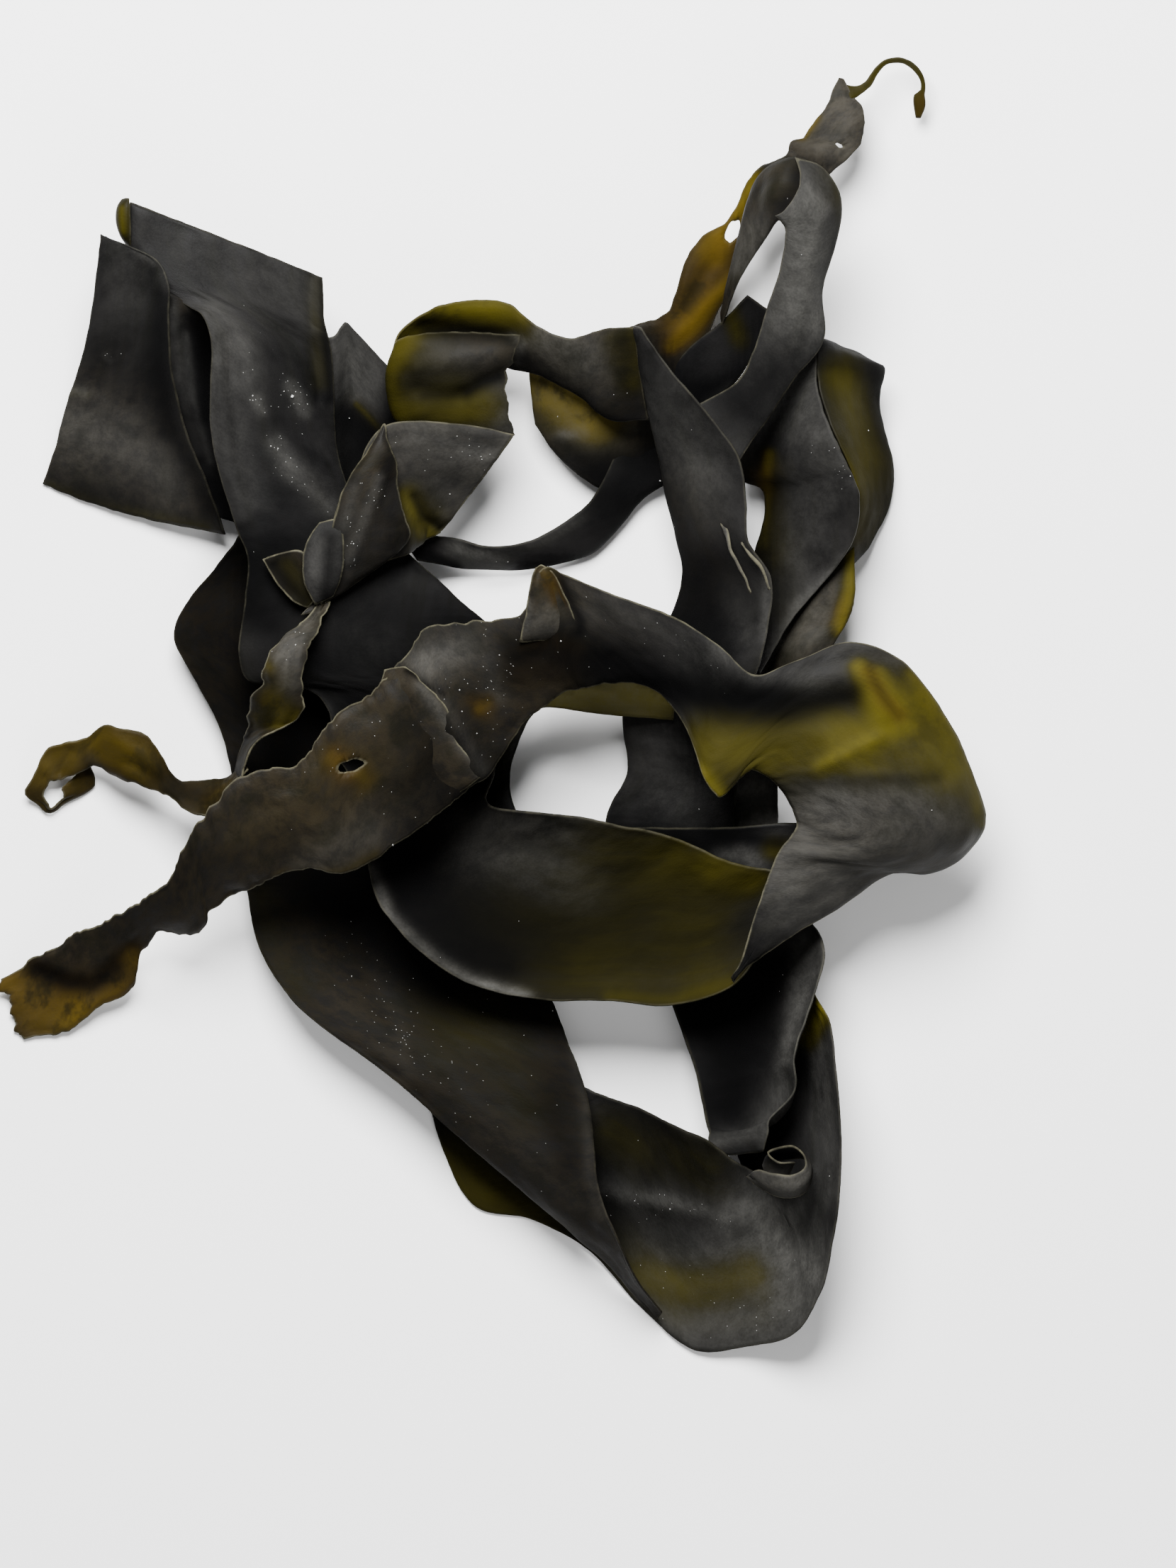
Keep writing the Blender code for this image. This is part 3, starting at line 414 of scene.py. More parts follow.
            (68.8, 47.2, 42, 69.4, 46.6, 43, 0), (71.6, 43.2, 43.8, 72, 43.8, 44.3, 0.4),
            (74.8, 39.6, 44.2, 75.2, 40, 44.6, 0.4), (77.4, 33.2, 43, 77.6, 33.6, 43.4, 0),
        ],
        "ragged": 0.35, "frill": 0.8, "rim": 1, "wrinkle": 1, "ends": ((0.2, 0.6), (0.2, 0.6)),
        "brown": [0.4], "bloom_and_sheen": [0.9],
    },
    # The arched strap at the upper right, both of whose ends go under the middle strap.
    "arch": {
        "stations": [
            (57, 86, 39, 68, 69, 41, 0), (67.4, 92, 35, 76.4, 81.6, 33, 1),
            (72.4, 100.4, 34, 84.4, 93.6, 32, 1), (76, 112, 38, 92.4, 104, 33, 1),
            (79.4, 121.6, 42, 92.4, 118, 36, 2), (81.6, 131, 45, 96, 131.6, 40, 3),
            (81.8, 135.6, 46, 97.2, 144, 44, 4), (80.6, 137.6, 46.5, 92.4, 152.8, 46, 4),
            (78.8, 139.4, 46, 84.4, 155.6, 45, 3),
        ],
        "frill": 0.25, "rim": 0.6, "wrinkle": 0.6, "ends": ((0, 0), (-4.5, 0.15)),
        "glow": [0, (0.3, 5, 93, 151, 94.4, 144), (0.25, 1.6, 96, 148, 96.8, 136)],
        "bloom_and_sheen": [0.25, (1, 10, 89, 140, 90, 128, 87, 114), (0.3, 3, 88, 142, 84, 138),
            (0.25, 5, 80, 106, 74, 94)],
        "painted_shade": [0, (0.4, 4, 90, 153, 93, 148), (0.5, 2.5, 94.4, 146, 96.4, 136, 94, 120),
            (0.9, 10, 69, 87, 77, 95)],
        "creases": [(0.8, 4, 90, 140, 87, 120, 82, 104), (-0.6, 3, 93, 134, 90, 106)],
    },
    # The far leg of the arch, which comes out from under its fold.
    "arch_leg": {
        "stations": [
            (82.4, 136.4, 44, 95.2, 147.6, 42.5, 2), (80.2, 137.8, 44, 88, 154.8, 43.5, 3),
            (79, 137.2, 42, 80.8, 155, 42, 3), (76.4, 133.2, 37, 73.6, 149.6, 38, 1.5),
            (70.6, 124.4, 31, 69.2, 136.4, 33, 0.5), (66.8, 116.8, 25, 65.8, 123.2, 27, 0),
            (63.6, 107.6, 16, 63.6, 112, 17, 0),
        ],
        "frill": 0.25, "wrinkle": 0.7,
        "glow": [0, (0.2, 8, 76, 146, 82, 152), (0.2, 4, 72, 134, 67, 122)],
        "bloom_and_sheen": [0.08, (0.6, 4, 74, 136, 69, 126)],
        "painted_shade": [0, (0.7, 3, 86, 152, 85.6, 147, 80.8, 140.8)],
        "brown": [0.4],
        "creases": [(-0.8, 2.5, 85.6, 152, 84.8, 147.6, 80, 142)],
    },
    # The broad strap on the right: its front face, and the outer face beyond the ridge.
    "right_strap_front": {
        "stations": [
            (82.4, 105, 26, 91, 105, 33, 0), (78.8, 94, 11, 90.6, 95, 28, 1),
            (72.4, 84, 9, 92, 86, 30, 1), (68, 76, 9, 94.4, 80, 31, 1),
            (66.8, 70, 9, 97, 74.4, 32, 1), (68.4, 64.8, 9, 98.8, 70.4, 32, 1),
            (74.2, 62.2, 8.5, 100, 67.6, 32, 1), (75.6, 58.4, 8, 101.2, 65, 31.7, 1),
            (74.8, 52, 8, 102.8, 59, 31, 1), (73.2, 45, 8, 100.6, 47, 27, 1),
            (73, 33, 8, 91, 34, 21, 1), (72.4, 22, 17, 82, 23, 22, 0),
            (71, 10, 32, 74.4, 10, 35, 0),
        ],
        "ragged": 0.15, "frill": 0.3, "rim": 0.25,
        "glow": [0, (0.9, 1.8, 77, 72, 76, 60, 74.4, 47), (0.32, 4.5, 79.6, 68, 78.4, 56, 76.8, 44),
            (0.2, 12, 78, 44, 80, 28), (0.4, 2.2, 72, 66.4, 74.8, 62)],
        "amber": [0, (0.8, 5, 70.4, 69, 74, 64)],
        "brown": [0, (0.6, 5, 70.4, 69, 74, 64)],
        "bloom_and_sheen": [0.1, (0.3, 9, 88, 92, 86, 80), (0.25, 7, 90, 80, 98, 70),
            (0.4, 3, 83.6, 96, 77, 86, 72, 78), (0.3, 9, 90, 60, 85, 44),
            (0.6, 1.8, 101, 44, 86, 30, 77, 16)],
        "salt": [0, (0.5, 2, 88.4, 74.8, 91, 73.6), (0.35, 2, 96, 72, 99.6, 65.6)],
        "painted_shade": [0, (0.5, 6, 80, 72, 77.6, 60, 76.4, 46), (-2, 6, 82, 94, 85, 86),
            (0.35, 7, 78, 32, 74, 20)],
        "creases": [(0.9, 5, 88, 92, 86, 60, 80, 30), (-0.8, 5, 80, 88, 78, 48),
            (0.6, 4, 97, 80, 100, 60)],
    },
    "right_strap_outer": {
        "stations": [
            (90.6, 104.8, 32.6, 92, 104.2, 27, 0), (90.4, 103.2, 32, 101, 100.6, 18, 0.5),
            (90.4, 101.2, 31, 107.6, 97.4, 15, 1), (90.4, 99.2, 30, 109.4, 96.4, 14, 1),
            (90.6, 96, 28.3, 109.2, 94, 13, 1), (91.4, 90, 29, 108.4, 88, 11, 1.5),
            (93.8, 81.6, 30.6, 109.2, 80, 7, 2), (97.4, 73.6, 32, 111.6, 71, 3.5, 2),
            (100.2, 67.2, 32, 112, 64, 1.2, 1.5), (102.4, 60, 31, 110.4, 57.6, 0.6, 1),
            (101.2, 53, 28, 107.6, 51.2, 2, 0.5), (99.2, 47, 24, 104.4, 45, 6, 0.5),
            (97.2, 42.8, 20, 100, 40, 12, 0),
        ],
        "ragged": 0.2, "frill": 0.3, "rim": 0.15, "wrinkle": 0.6,
        "glow": [0, (0.6, 6.5, 97.6, 94, 101, 82, 105.2, 70), (0.5, 8, 105.6, 62, 101.6, 51),
            (0.25, 9, 105, 64, 103, 52)],
        "brown": [0, (0.3, 10, 106, 72, 106, 56)],
        "painted_shade": [0, (0.35, 3, 96, 96, 108, 94), (0.4, 3, 107.2, 88, 107.6, 80, 110, 70, 109.2, 60),
            (0.55, 9, 107.6, 74, 108.4, 60, 103.6, 49)],
        "bloom_and_sheen": [0.05],
        "creases": [(-0.7, 4, 103, 88, 107, 60)],
    },
    # The rounded ridge between the two faces of the right strap.
    "right_strap_ridge": {
        "stations": [
            (89.2, 103.2, 23.6, 91.6, 102.4, 23.6, 1.5), (89.2, 99.6, 21.8, 92, 98.8, 21.3, 2.1),
            (89.2, 95, 20.3, 92, 94.6, 19.9, 2.1), (90.4, 86.4, 22.1, 93.4, 85.6, 21.6, 2.2),
            (92.8, 80.2, 23.3, 95.8, 80, 22.7, 2.2), (95.4, 74.4, 24.3, 98.4, 74.6, 23.7, 2.2),
            (97.4, 70, 24.3, 100.4, 70.8, 23.7, 2.2), (98.8, 66.4, 24.3, 101.8, 67.6, 23.7, 2.2),
            (100.8, 59.4, 23.5, 103.8, 60, 22.8, 2.1), (100.8, 53.6, 21.8, 103.2, 53.8, 21.1, 1.7),
            (100, 50, 20.6, 101.8, 49.6, 19.8, 1),
        ],
        "ragged": 0, "frill": 0, "rim": 0, "wrinkle": 0.4,
        "glow": [0, (0.2, 3, 92, 94, 94, 82)],
        "bloom_and_sheen": [0.2, (0.3, 4, 92, 88, 98, 72)],
    },
    # The olive piece that shows below the broad right strap and goes under the big loop.
    "right_strap_lower": {
        "stations": [
            (79.6, 46.4, 12, 101, 50.4, 19, 2), (79.6, 33, 11.5, 101.2, 33.6, 19, 2.5),
            (78, 21, 12, 99.2, 25.2, 18, 3), (74, 12, 12, 94.6, 16.8, 18, 3),
            (72.4, 0, 8, 90, 2, 12, 1),
        ],
        "ragged": 0.12, "wrinkle": 0.6,
        "glow": [0, (1, 2.6, 100.4, 44, 100, 34, 97, 23), (0.25, 8, 88, 24, 82, 16)],
        "amber": [0, (0.4, 5, 94, 28, 88, 19)],
        "bloom_and_sheen": [0.2, (0.25, 6, 94.4, 32, 88, 22), (0.3, 6, 90, 24, 84, 18)],
        "painted_shade": [0, (-4, 12, 99, 40, 94, 28, 88, 20), (-3, 8, 84, 20, 80, 14)],
        "brown": [0.8],
    },
    # The dark strap behind the arch, darkened all over by painted shade.
    "dark_strap": {
        "stations": [
            (71, 116.5, 21, 77, 112.5, 18, 0), (64, 109.5, 17, 72.5, 100, 13, 0),
            (57, 104, 14, 66.5, 91, 10, 1), (49, 96, 12, 58, 85, 8, 1), (41, 86, 9, 50, 72, 6, 0),
        ],
        "ragged": 0.12, "wrinkle": 0.6,
        "glow": [0, (0.42, 3.5, 66, 112, 69, 104)],
        "bloom_and_sheen": [0.06, (0.4, 1.5, 60, 87, 66, 91)],
        "painted_shade": [0.35, (0.8, 5, 58, 86, 64, 82)],
    },
    # The amber strip that runs out to the thin tail at the top right.
    "amber_strip": {
        "stations": [
            (96.6, 178, 14, 97.8, 177.8, 14, 0), (94.2, 173, 15, 101.2, 172.4, 14.5, 0),
            (92.6, 169.2, 16, 103.6, 169.6, 15, 1), (89.4, 165.2, 17.5, 103.8, 165.6, 16, 1),
            (86.6, 160.8, 18.5, 102.6, 160, 16.5, 1), (83.2, 160, 19.5, 99.6, 156.4, 17.5, 1),
            (81, 156, 20, 94.4, 151.6, 18, 1), (75, 152.6, 20, 84, 143, 18, 0),
            (69.4, 146, 19, 77, 138, 17, 0), (65, 137.6, 18, 72, 130, 16, 0),
            (57.4, 132.6, 17, 68, 124, 15, 1), (51.4, 121, 16, 65, 117, 14, 1),
            (48, 111.6, 15, 60, 106.6, 12, 1), (40, 108.6, 14, 54, 90, 9, 1),
            (30, 104, 13, 42, 68, 7, 1), (22, 99, 12, 31, 62, 7, 2), (14, 97, 11, 19, 70, 8, 2),
            (9.4, 95, 10, 11, 80, 9, 1),
        ],
        "ragged": 0.3, "frill": 0.3, "rim": 0.4,
        "glow": [0, (0.8, 2.2, 86.4, 162, 90, 167), (0.95, 3.5, 73, 149, 68, 140),
            (0.5, 9, 62, 132, 57, 120, 52, 110), (0.6, 2.2, 66.4, 120.8, 58, 112, 49, 102),
            (0.75, 3.5, 64.4, 134, 61.6, 128.8), (0.88, 9, 13, 93, 20, 88, 28, 83),
            (0.4, 3, 24, 85, 30, 80.4)],
        "amber": [0, (0.5, 4, 86.4, 162, 90, 167), (0.9, 11, 64, 130, 56, 116, 47, 100),
            (0.3, 6, 73, 149, 68, 140), (0.35, 10, 13, 93, 28, 83)],
        "brown": [0, (0.95, 14, 98, 170, 94, 157), (0.8, 3, 61, 126, 57, 120, 51, 112),
            (0.9, 18, 12, 92, 32, 92)],
        "bloom_and_sheen": [0, (0.55, 9, 99, 169, 95, 158), (0.6, 8, 13, 92, 27, 80),
            (0.75, 1.5, 19, 77.6, 24.4, 78.6)],
        "painted_shade": [0, (0.35, 3, 62, 129, 58, 123, 52, 114), (0.35, 4, 46, 112, 48, 106),
            (-4, 12, 13, 92, 20, 85, 27, 80), (0.9, 9, 32, 70, 40, 68, 46, 72),
            (0.9, 6, 18, 75, 26, 70, 36, 62)],
        "creases": [(0.5, 2, 66, 121, 57, 112, 46, 100), (-0.5, 2, 61, 126, 52, 112),
            (0.8, 3, 89, 158.4, 96, 157, 103, 153)],
        "holes": [(66.8, 134.8, 1.7, 3.6, -18), (96.8, 159, 1.1, 0.6, -35)],
    },
    "tail": {
        "stations": [
            (98, 176.4, 14, 99.8, 171.2, 15, 0), (101.4, 175.8, 13.5, 102.4, 173, 14, 0),
            (104.2, 177.2, 13, 105.6, 175.6, 13, 0), (107.6, 181.4, 12, 108.6, 180.2, 11.5, 0),
            (110.4, 183.3, 11.5, 110.8, 181.9, 11, 0), (114.4, 183.6, 10.5, 114, 182.2, 10, 0),
            (118, 182, 9, 117, 180.6, 9, 0), (120.4, 178.8, 8.3, 119.2, 178, 8.2, 0),
            (121.2, 175.2, 7.6, 119.8, 174.8, 7.5, 0), (121, 173.2, 7.2, 118, 173.2, 7, 0.2),
            (121.2, 170.2, 6.5, 118, 170, 6.2, 0.3), (119.8, 166.8, 5.4, 118.6, 166.8, 5.2, 0),
        ],
        "ragged": 0.15, "rim": 0.4, "wrinkle": 0.4,
        "amber": [0, (0.6, 3, 120, 171, 119.6, 167)],
        "brown": [0.2, (0.6, 4, 99, 174, 103, 175)],
        "bloom_and_sheen": [0, (0.3, 2, 112.4, 182.4, 117, 181)],
        "glow": [0.48],
    },
    # The thin dark strap across the open middle.
    "cross_strap": {
        "stations": [
            (-28, 50, 21, -22, 42, 17, 0), (-13, 48.5, 12, -11, 40, 6, 0),
            (-4, 46, 12, -2, 39.5, 4, 0), (4, 46, 11, 8, 39.5, 3, 0),
            (12, 48.5, 10, 19, 41.5, 3, 1), (20, 53, 10, 28, 44.5, 3, 1),
            (26, 58, 10, 36, 53, 4, 1), (30, 64, 10, 42, 60, 5, 1), (34, 73, 9, 51, 66, 6, 0),
            (38, 84, 9, 56, 74, 6, 0),
        ],
        "wrinkle": 0.5,
        "bloom_and_sheen": [0.12, (0.9, 3, -12, 46, -8, 43.6, 0, 41), (0.25, 1.5, 0, 46, 12, 47, 24, 54)],
        "painted_shade": [0.1, (-3, 5, -11, 45.6, -4, 42), (1, 4, -25, 47, -18, 42, -12, 40),
            (0.8, 9, 32, 60, 40, 68)],
        "creases": [(0.8, 2, -16, 47.6, -8, 43.4, 4, 42)],
    },
    # The dark flap behind the palm's right edge.
    "back_flap": {
        "stations": [
            (-50, 104.4, 24.5, -50, 62, 22, 0), (-45.6, 105.2, 22.5, -46, 61, 14, 0.5),
            (-43.6, 107.8, 21, -43.6, 60.4, 9, 0.5), (-42.3, 109.1, 20, -42, 60, 6, 1),
            (-40.6, 107.6, 18.5, -40, 60.4, 5, 1), (-35.6, 102.2, 16, -35.6, 62, 4, 1),
            (-29.6, 96, 13, -29, 65, 3, 1), (-22, 89.6, 10, -22, 68, 4, 0),
        ],
        "wrinkle": 0.6,
        "glow": [0, (0.6, 1, -39.6, 86, -36.4, 82.8, -33.2, 79.2)],
        "brown": [0, (0.5, 2, -39.6, 86, -33.2, 79.2)],
        "bloom_and_sheen": [0.2, (0.5, 7, -43.6, 102, -38, 94)],
        "painted_shade": [0, (-2, 9, -44, 102, -36, 92), (1, 8, -42, 82, -36, 76, -28, 76),
            (0.6, 6, -34, 94, -28, 88)],
        "creases": [(1.2, 2, -39.6, 86, -32.8, 78.8)],
    },
    # The hood: a strap that runs left, folds over on itself and comes back on top.
    "hood": {
        "stations": [
            (39.4, 108, 39, 43, 82, 23, 1), (31, 107.6, 34, 32.4, 81.6, 20, 2),
            (20, 104.6, 30, 21, 89.6, 19, 2), (11.4, 108, 27, 10.4, 95, 17, 1),
            (4.4, 114.4, 25, 2, 96, 14, 1), (-6, 116, 23, -8, 96, 11, 1),
            (-17, 114, 22, -18, 94, 9, 0), (-25.6, 108.4, 22, -26, 88, 9, -1),
            (-28.6, 103.2, 27, -28.8, 83, 14, -2.5), (-26, 105.2, 31.5, -26, 79.2, 20, -3),
            (-17, 106.4, 33.5, -17, 77.6, 24, -3), (-6, 106.4, 35, -5.6, 77.2, 25, -2.5),
            (7.2, 105.2, 35, 5.6, 77.4, 26, -1),
        ],
        "ragged": 0.2, "frill": 0.4, "rim": 0.5, "ends": ((0, 0), (-3.4, 0.6)),
        "glow": [0, (0.7, 5, -28, 102, -22, 110, -10, 112.4, 6, 111.6),
            (0.42, 3, -20, 114, 0, 114.4), (0.32, 4, 33, 104, 36, 92),
            (0.3, 9, -24, 100, -12, 92, -2, 86), (0.5, 5.5, -26, 84, -16, 83.6, -4, 85),
            (0.5, 2.5, -29.6, 96, -30, 88, -27, 80), (0.3, 8, 9, 108, 15, 102, 20, 96),
            (0.4, 3, 38.6, 107, 39.8, 100, 39.2, 92)],
        "brown": [0.25, (0.6, 9, -22, 112, 6, 112), (0.7, 12, 12, 104, 34, 96)],
        "bloom_and_sheen": [0.12, (0.22, 3.5, -20, 99, -12, 98.4, -2, 100), (0.4, 5, 0, 88, 2.4, 80),
            (0.8, 1.2, 4.6, 106, 7.6, 103.2, 6.4, 98.4), (0.7, 7, 15, 104, 23, 99),
            (0.3, 5, 26, 100, 30, 92)],
        "painted_shade": [0, (0.9, 4, 8.4, 98.4, 17, 90.4, 29, 81.6, 40, 76), (0.5, 4, 37, 104, 38.4, 88),
            (0.8, 2.6, -20, 107.6, -10, 106, 0, 105.2, 4.4, 104.4),
            (0.35, 6, -20, 94, -12, 91, -2, 92), (0.95, 1.8, -8, 89.6, -4, 92, 1, 94),
            (0.5, 1.6, -20, 88.8, -10, 88.8), (0.4, 9, 24, 96, 36, 80, 40, 72)],
        "creases": [(-1.4, 3, -20, 107.6, -8, 105.6, 4.4, 104.4),
            (1.2, 4, -26, 112, -10, 114, 6, 112.8), (-1.8, 2.4, -9, 88.8, -4, 91.6, 1.6, 94.4),
            (1.2, 3, -22, 97, -4, 99, 5, 102), (-1.2, 3, -22, 89.6, -12, 88),
            (0.9, 3, -2, 88, 1.2, 82), (-0.6, 5, 12, 106, 26, 88)],
    },
    # The pale-edged leaf in front of the palm, its ridge, and the frayed tail that hangs from it.
    "front_leaf": {
        "stations": [
            (5.4, 77.6, 27, -15.6, 49.6, 19, 1), (-10, 80.4, 27.5, -20, 47.6, 19, 1),
            (-31, 80, 33, -22, 46, 22, 2), (-40, 66.6, 34, -26.6, 43, 26, 2),
            (-45, 57, 34, -34, 41, 28, 1), (-47.2, 44, 33, -40, 36.4, 29, 1),
            (-50.4, 32, 30, -46, 32, 27.5, 0), (-55, 26.4, 32, -49.6, 27.6, 31, 0),
        ],
        "ragged": 0.2, "frill": 0.5, "rim": 0.8, "wrinkle": 0.9,
        "glow": [0, (0.5, 3, -25.2, 60, -22, 54, -19.6, 49), (0.38, 7, -22, 58, -18, 51)],
        "bloom_and_sheen": [0.2, (0.5, 8, -22, 76, -10, 75, 0, 73.6), (0.3, 6, -12, 68, -16, 62),
            (0.5, 1.2, -9, 72, 0, 71)],
        "salt": [0, (0.3, 2.5, -10, 74.4, -2, 72), (0.12, 8, -20, 74, -2, 72)],
        "painted_shade": [0, (0.5, 2, -12, 77, 0, 75.6), (0.6, 6, -12, 64, -18, 62),
            (0.8, 1.4, -23.2, 60, -20.4, 54, -16, 51.6)],
        "brown": [0.3],
        "creases": [(-0.9, 1.2, -23.2, 60, -20.4, 54, -16.4, 51),
            (0.6, 1.2, -22, 62, -17.6, 55.6, -14, 54), (0.8, 4, -20, 76, -8, 72),
            (-0.9, 4, -22, 68, -12, 62)],
    },
    # The near half of the pale-edged leaf, whose free edge stands over the far half.
    "leaf_fold": {
        "stations": [
            (-32, 80.4, 34.5, -31, 80.4, 34.5, 0), (-35.6, 73.2, 36, -30.4, 74, 35.5, 1),
            (-40, 67.4, 37, -28, 69, 35, 1.5), (-43.6, 61, 37.5, -27.2, 62, 34.5, 2),
            (-46, 52.4, 37, -25.8, 54.4, 33, 2), (-47, 44.4, 36, -24.4, 48.4, 30, 2),
            (-47.4, 38.4, 34, -31, 42, 30, 1.5), (-48.4, 32.8, 32, -40, 35.2, 30, 0.5),
            (-49.6, 28.8, 31, -47.6, 30.4, 30.5, 0),
        ],
        "ragged": 0.25, "frill": 0.5, "rim": 0.9, "wrinkle": 0.9,
        "brown": [0.3, (0.6, 5, -36, 70, -40, 62)],
        "bloom_and_sheen": [0.07, (0.4, 1.5, -32.6, 64.8, -35.6, 57.6, -39, 49, -41.4, 42),
            (0.12, 3, -36, 62, -40, 52, -42, 40), (0.5, 1.6, -40, 62, -42.8, 52)],
        "salt": [0, (0.45, 1.4, -32.6, 64.8, -35.6, 57.6, -39, 49, -41.4, 42),
            (0.15, 4, -36, 62, -40, 52, -42, 40)],
        "painted_shade": [0, (0.4, 6, -40, 60, -44, 48), (0.6, 3, -30.4, 70, -28.8, 62, -30, 54),
            (0.4, 6, -32, 44, -42, 36)],
        "creases": [(0.8, 1.6, -32.6, 64.8, -37, 54, -41, 42), (-0.8, 2, -30, 64, -32, 52)],
    },
    # The frayed strand that hangs from the leaf.
    "frayed_strand": {
        "stations": [
            (-50.4, 31, 31, -47.6, 30.4, 30.5, 0), (-53.6, 26.4, 32.5, -49, 26.8, 32, 0),
            (-58.4, 22, 35, -50.6, 21.6, 36, 0.5), (-63.6, 16.4, 37, -52.6, 15.6, 38, 1),
            (-65, 10.4, 37, -53.6, 10, 40, 1), (-67.2, 5, 35, -54, 4.4, 39.5, 1),
            (-69.2, -0.4, 31, -54.8, -0.4, 38, 1), (-70, -4.8, 26, -57, -4, 36.5, 0.5),
            (-70.8, -8, 19, -64.8, -7.2, 33, 0), (-72.4, -12.4, 12, -69.6, -12.4, 29, 0),
            (-73.8, -18, 9, -72, -19.6, 27, 0),
        ],
        "ragged": 0.8, "frill": 1, "rim": 1, "wrinkle": 1,
        "glow": [0, (0.3, 5, -60, 8, -61, 0), (0.45, 2, -68, -3, -61, -4.8, -56, -1.6),
            (0.5, 2, -66, 15, -64, 12), (0.36, 4, -63, 2, -58, -2)],
        "amber": [0, (0.2, 9, -60, 20, -65.6, 3)],
        "bloom_and_sheen": [0, (0.6, 3, -52, 26.4, -55, 20, -59, 15), (0.6, 4, -60, 20, -58, 8)],
        "salt": [0, (0.3, 4, -54, 24, -58, 14)],
        "painted_shade": [0, (0.5, 5, -56, 8, -57, 0), (0.6, 3, -71, -8, -73, -18)],
        "brown": [0.9],
        "creases": [(0.9, 1.5, -53, 28, -59, 19, -63, 10), (-0.8, 2, -61.6, 20, -59, 10, -61, 0),
            (0.7, 1.5, -54.4, 20, -57, 8, -59, -2)],
    },
    # The tail that curls back on itself on the far left.
    "curled_tail": {
        "stations": [
            (-71, -15, 8.5, -70, -17, 28, 0), (-75.6, -19, 9, -75, -23, 26, 0),
            (-80, -20, 12, -80, -29.4, 22, 0), (-87.6, -21, 12.5, -87.6, -28.6, 18.5, 0),
            (-92, -19, 13.5, -92.8, -25, 15.5, 0), (-94.8, -13, 14.5, -97.6, -22.4, 13.5, 0.5),
            (-98, -8.2, 15.5, -102.4, -20.8, 12, 1), (-104.4, -6.2, 15, -108, -18.6, 9.5, 1),
            (-110, -4, 13, -113.2, -15.6, 7.5, 1), (-115.2, -7.4, 10.5, -116, -17.2, 6.5, 0.5),
            (-121.4, -9.8, 8.5, -120.4, -19.6, 5.5, 0), (-126.8, -11.4, 7, -124, -20.2, 5, 0),
            (-130.4, -18, 5.5, -126.2, -21.8, 4, 0), (-133, -23.6, 3.5, -127.2, -24.4, 3.5, 0),
            (-130, -27.2, 1.5, -126.6, -26.6, 3.5, 0), (-126, -29.8, 0.8, -125.4, -28.2, 3.5, 0),
            (-120.8, -26.2, 0.8, -123.2, -26.2, 3.5, 0),
            (-114.2, -22.6, 0.8, -121.2, -24.2, 3.5, 0), (-112.8, -19.4, 1.5, -122, -22, 3.5, 0),
            (-114.8, -14.6, 2.5, -120, -20, 3.5, 0),
        ],
        "ragged": 0.5, "frill": 0.6, "rim": 0.7, "wrinkle": 0.9,
        "glow": [0.34, (0.42, 6, -128, -17, -115, -9.6, -105, -11.6, -99, -15.6),
            (0.4, 3, -80, -28, -75, -22.4)],
        "amber": [0, (0.55, 30, -80, -22, -100, -10, -120, -12, -130, -22)],
        "bloom_and_sheen": [0, (0.25, 5, -128, -17, -118, -12), (0.5, 1.5, -114.4, -14, -112.4, -17)],
        "painted_shade": [0, (0.6, 4, -95, -17.6, -90, -23, -83, -25), (0.5, 1.6, -116.4, -12, -114, -18),
            (0.4, 2, -126, -23, -130, -24)],
        "brown": [0.7],
        "creases": [(0.9, 2.5, -90, -23, -100, -14, -108, -8), (-0.8, 2, -95, -20, -103, -15),
            (-0.9, 1.5, -120, -12, -123, -18), (0.7, 1.5, -128, -16, -125, -19)],
    },
    # Two small leaves at the foot of the pale-edged leaf.
    "side_lobe": {
        "stations": [
            (-50, 52.6, 36, -44, 54, 37, 0), (-52.8, 48.6, 36, -43, 49, 37, 0.8),
            (-54.6, 43, 35.5, -43, 42, 36.5, 1), (-54.2, 36, 35, -44, 37, 35.5, 1),
            (-51.2, 29.4, 32.5, -46, 32, 32, 0),
        ],
        "ragged": 0.15, "rim": 1, "wrinkle": 0.5,
        "bloom_and_sheen": [0.25, (0.4, 3, -49, 46, -51, 34)],
        "painted_shade": [0, (0.8, 2, -46.8, 48, -47.2, 40, -48.4, 32)],
    },
    "small_leaf": {
        "stations": [
            (-65.8, 42.2, 33, -64.4, 42.8, 33.5, 0), (-63.6, 38, 32.8, -59.6, 44.2, 34, -0.5),
            (-60.8, 34, 32.5, -55, 44.6, 34.5, -0.5), (-57.2, 30.4, 32, -51.6, 40.6, 34, -0.5),
            (-53.2, 28.4, 31, -49.6, 32.4, 33, -0.3),
        ],
        "ragged": 0.12, "rim": 1, "wrinkle": 0.5,
        "glow": [0, (0.36, 4, -59, 40, -55, 34, -52.4, 30)],
        "painted_shade": [0, (0.8, 2.5, -63, 40.6, -59, 35.6, -54, 31)],
        "brown": [0.4],
        "creases": [(-0.9, 2, -61.6, 40, -57.2, 33)],
    },
    # The band behind the top blade, along the near edge of the open middle.
    "back_band": {
        "stations": [
            (52, 14, 19.5, 50, -3, 17, 0), (30, 18, 20, 30, -1.5, 17, 0),
            (12, 14, 18, 15, 0.5, 15, 0), (-2, 4, 16, 10, -2, 13, 0),
            (-10, -10, 14, 6.5, -9, 12, 0), (-10, -30, 12, 4, -18, 11, 0),
            (-6, -44, 13, 5, -27, 12, 0), (0, -52, 17.5, 12, -40, 19, 0),
        ],
        "rim": 0.4, "wrinkle": 0.5,
        "glow": [0, (0.95, 9, 18, 1.6, 30, 2, 44, 2), (0.4, 5, 0, -12, -2, -22)],
        "bloom_and_sheen": [0.06, (1, 10, 18, 3, 40, 3)],
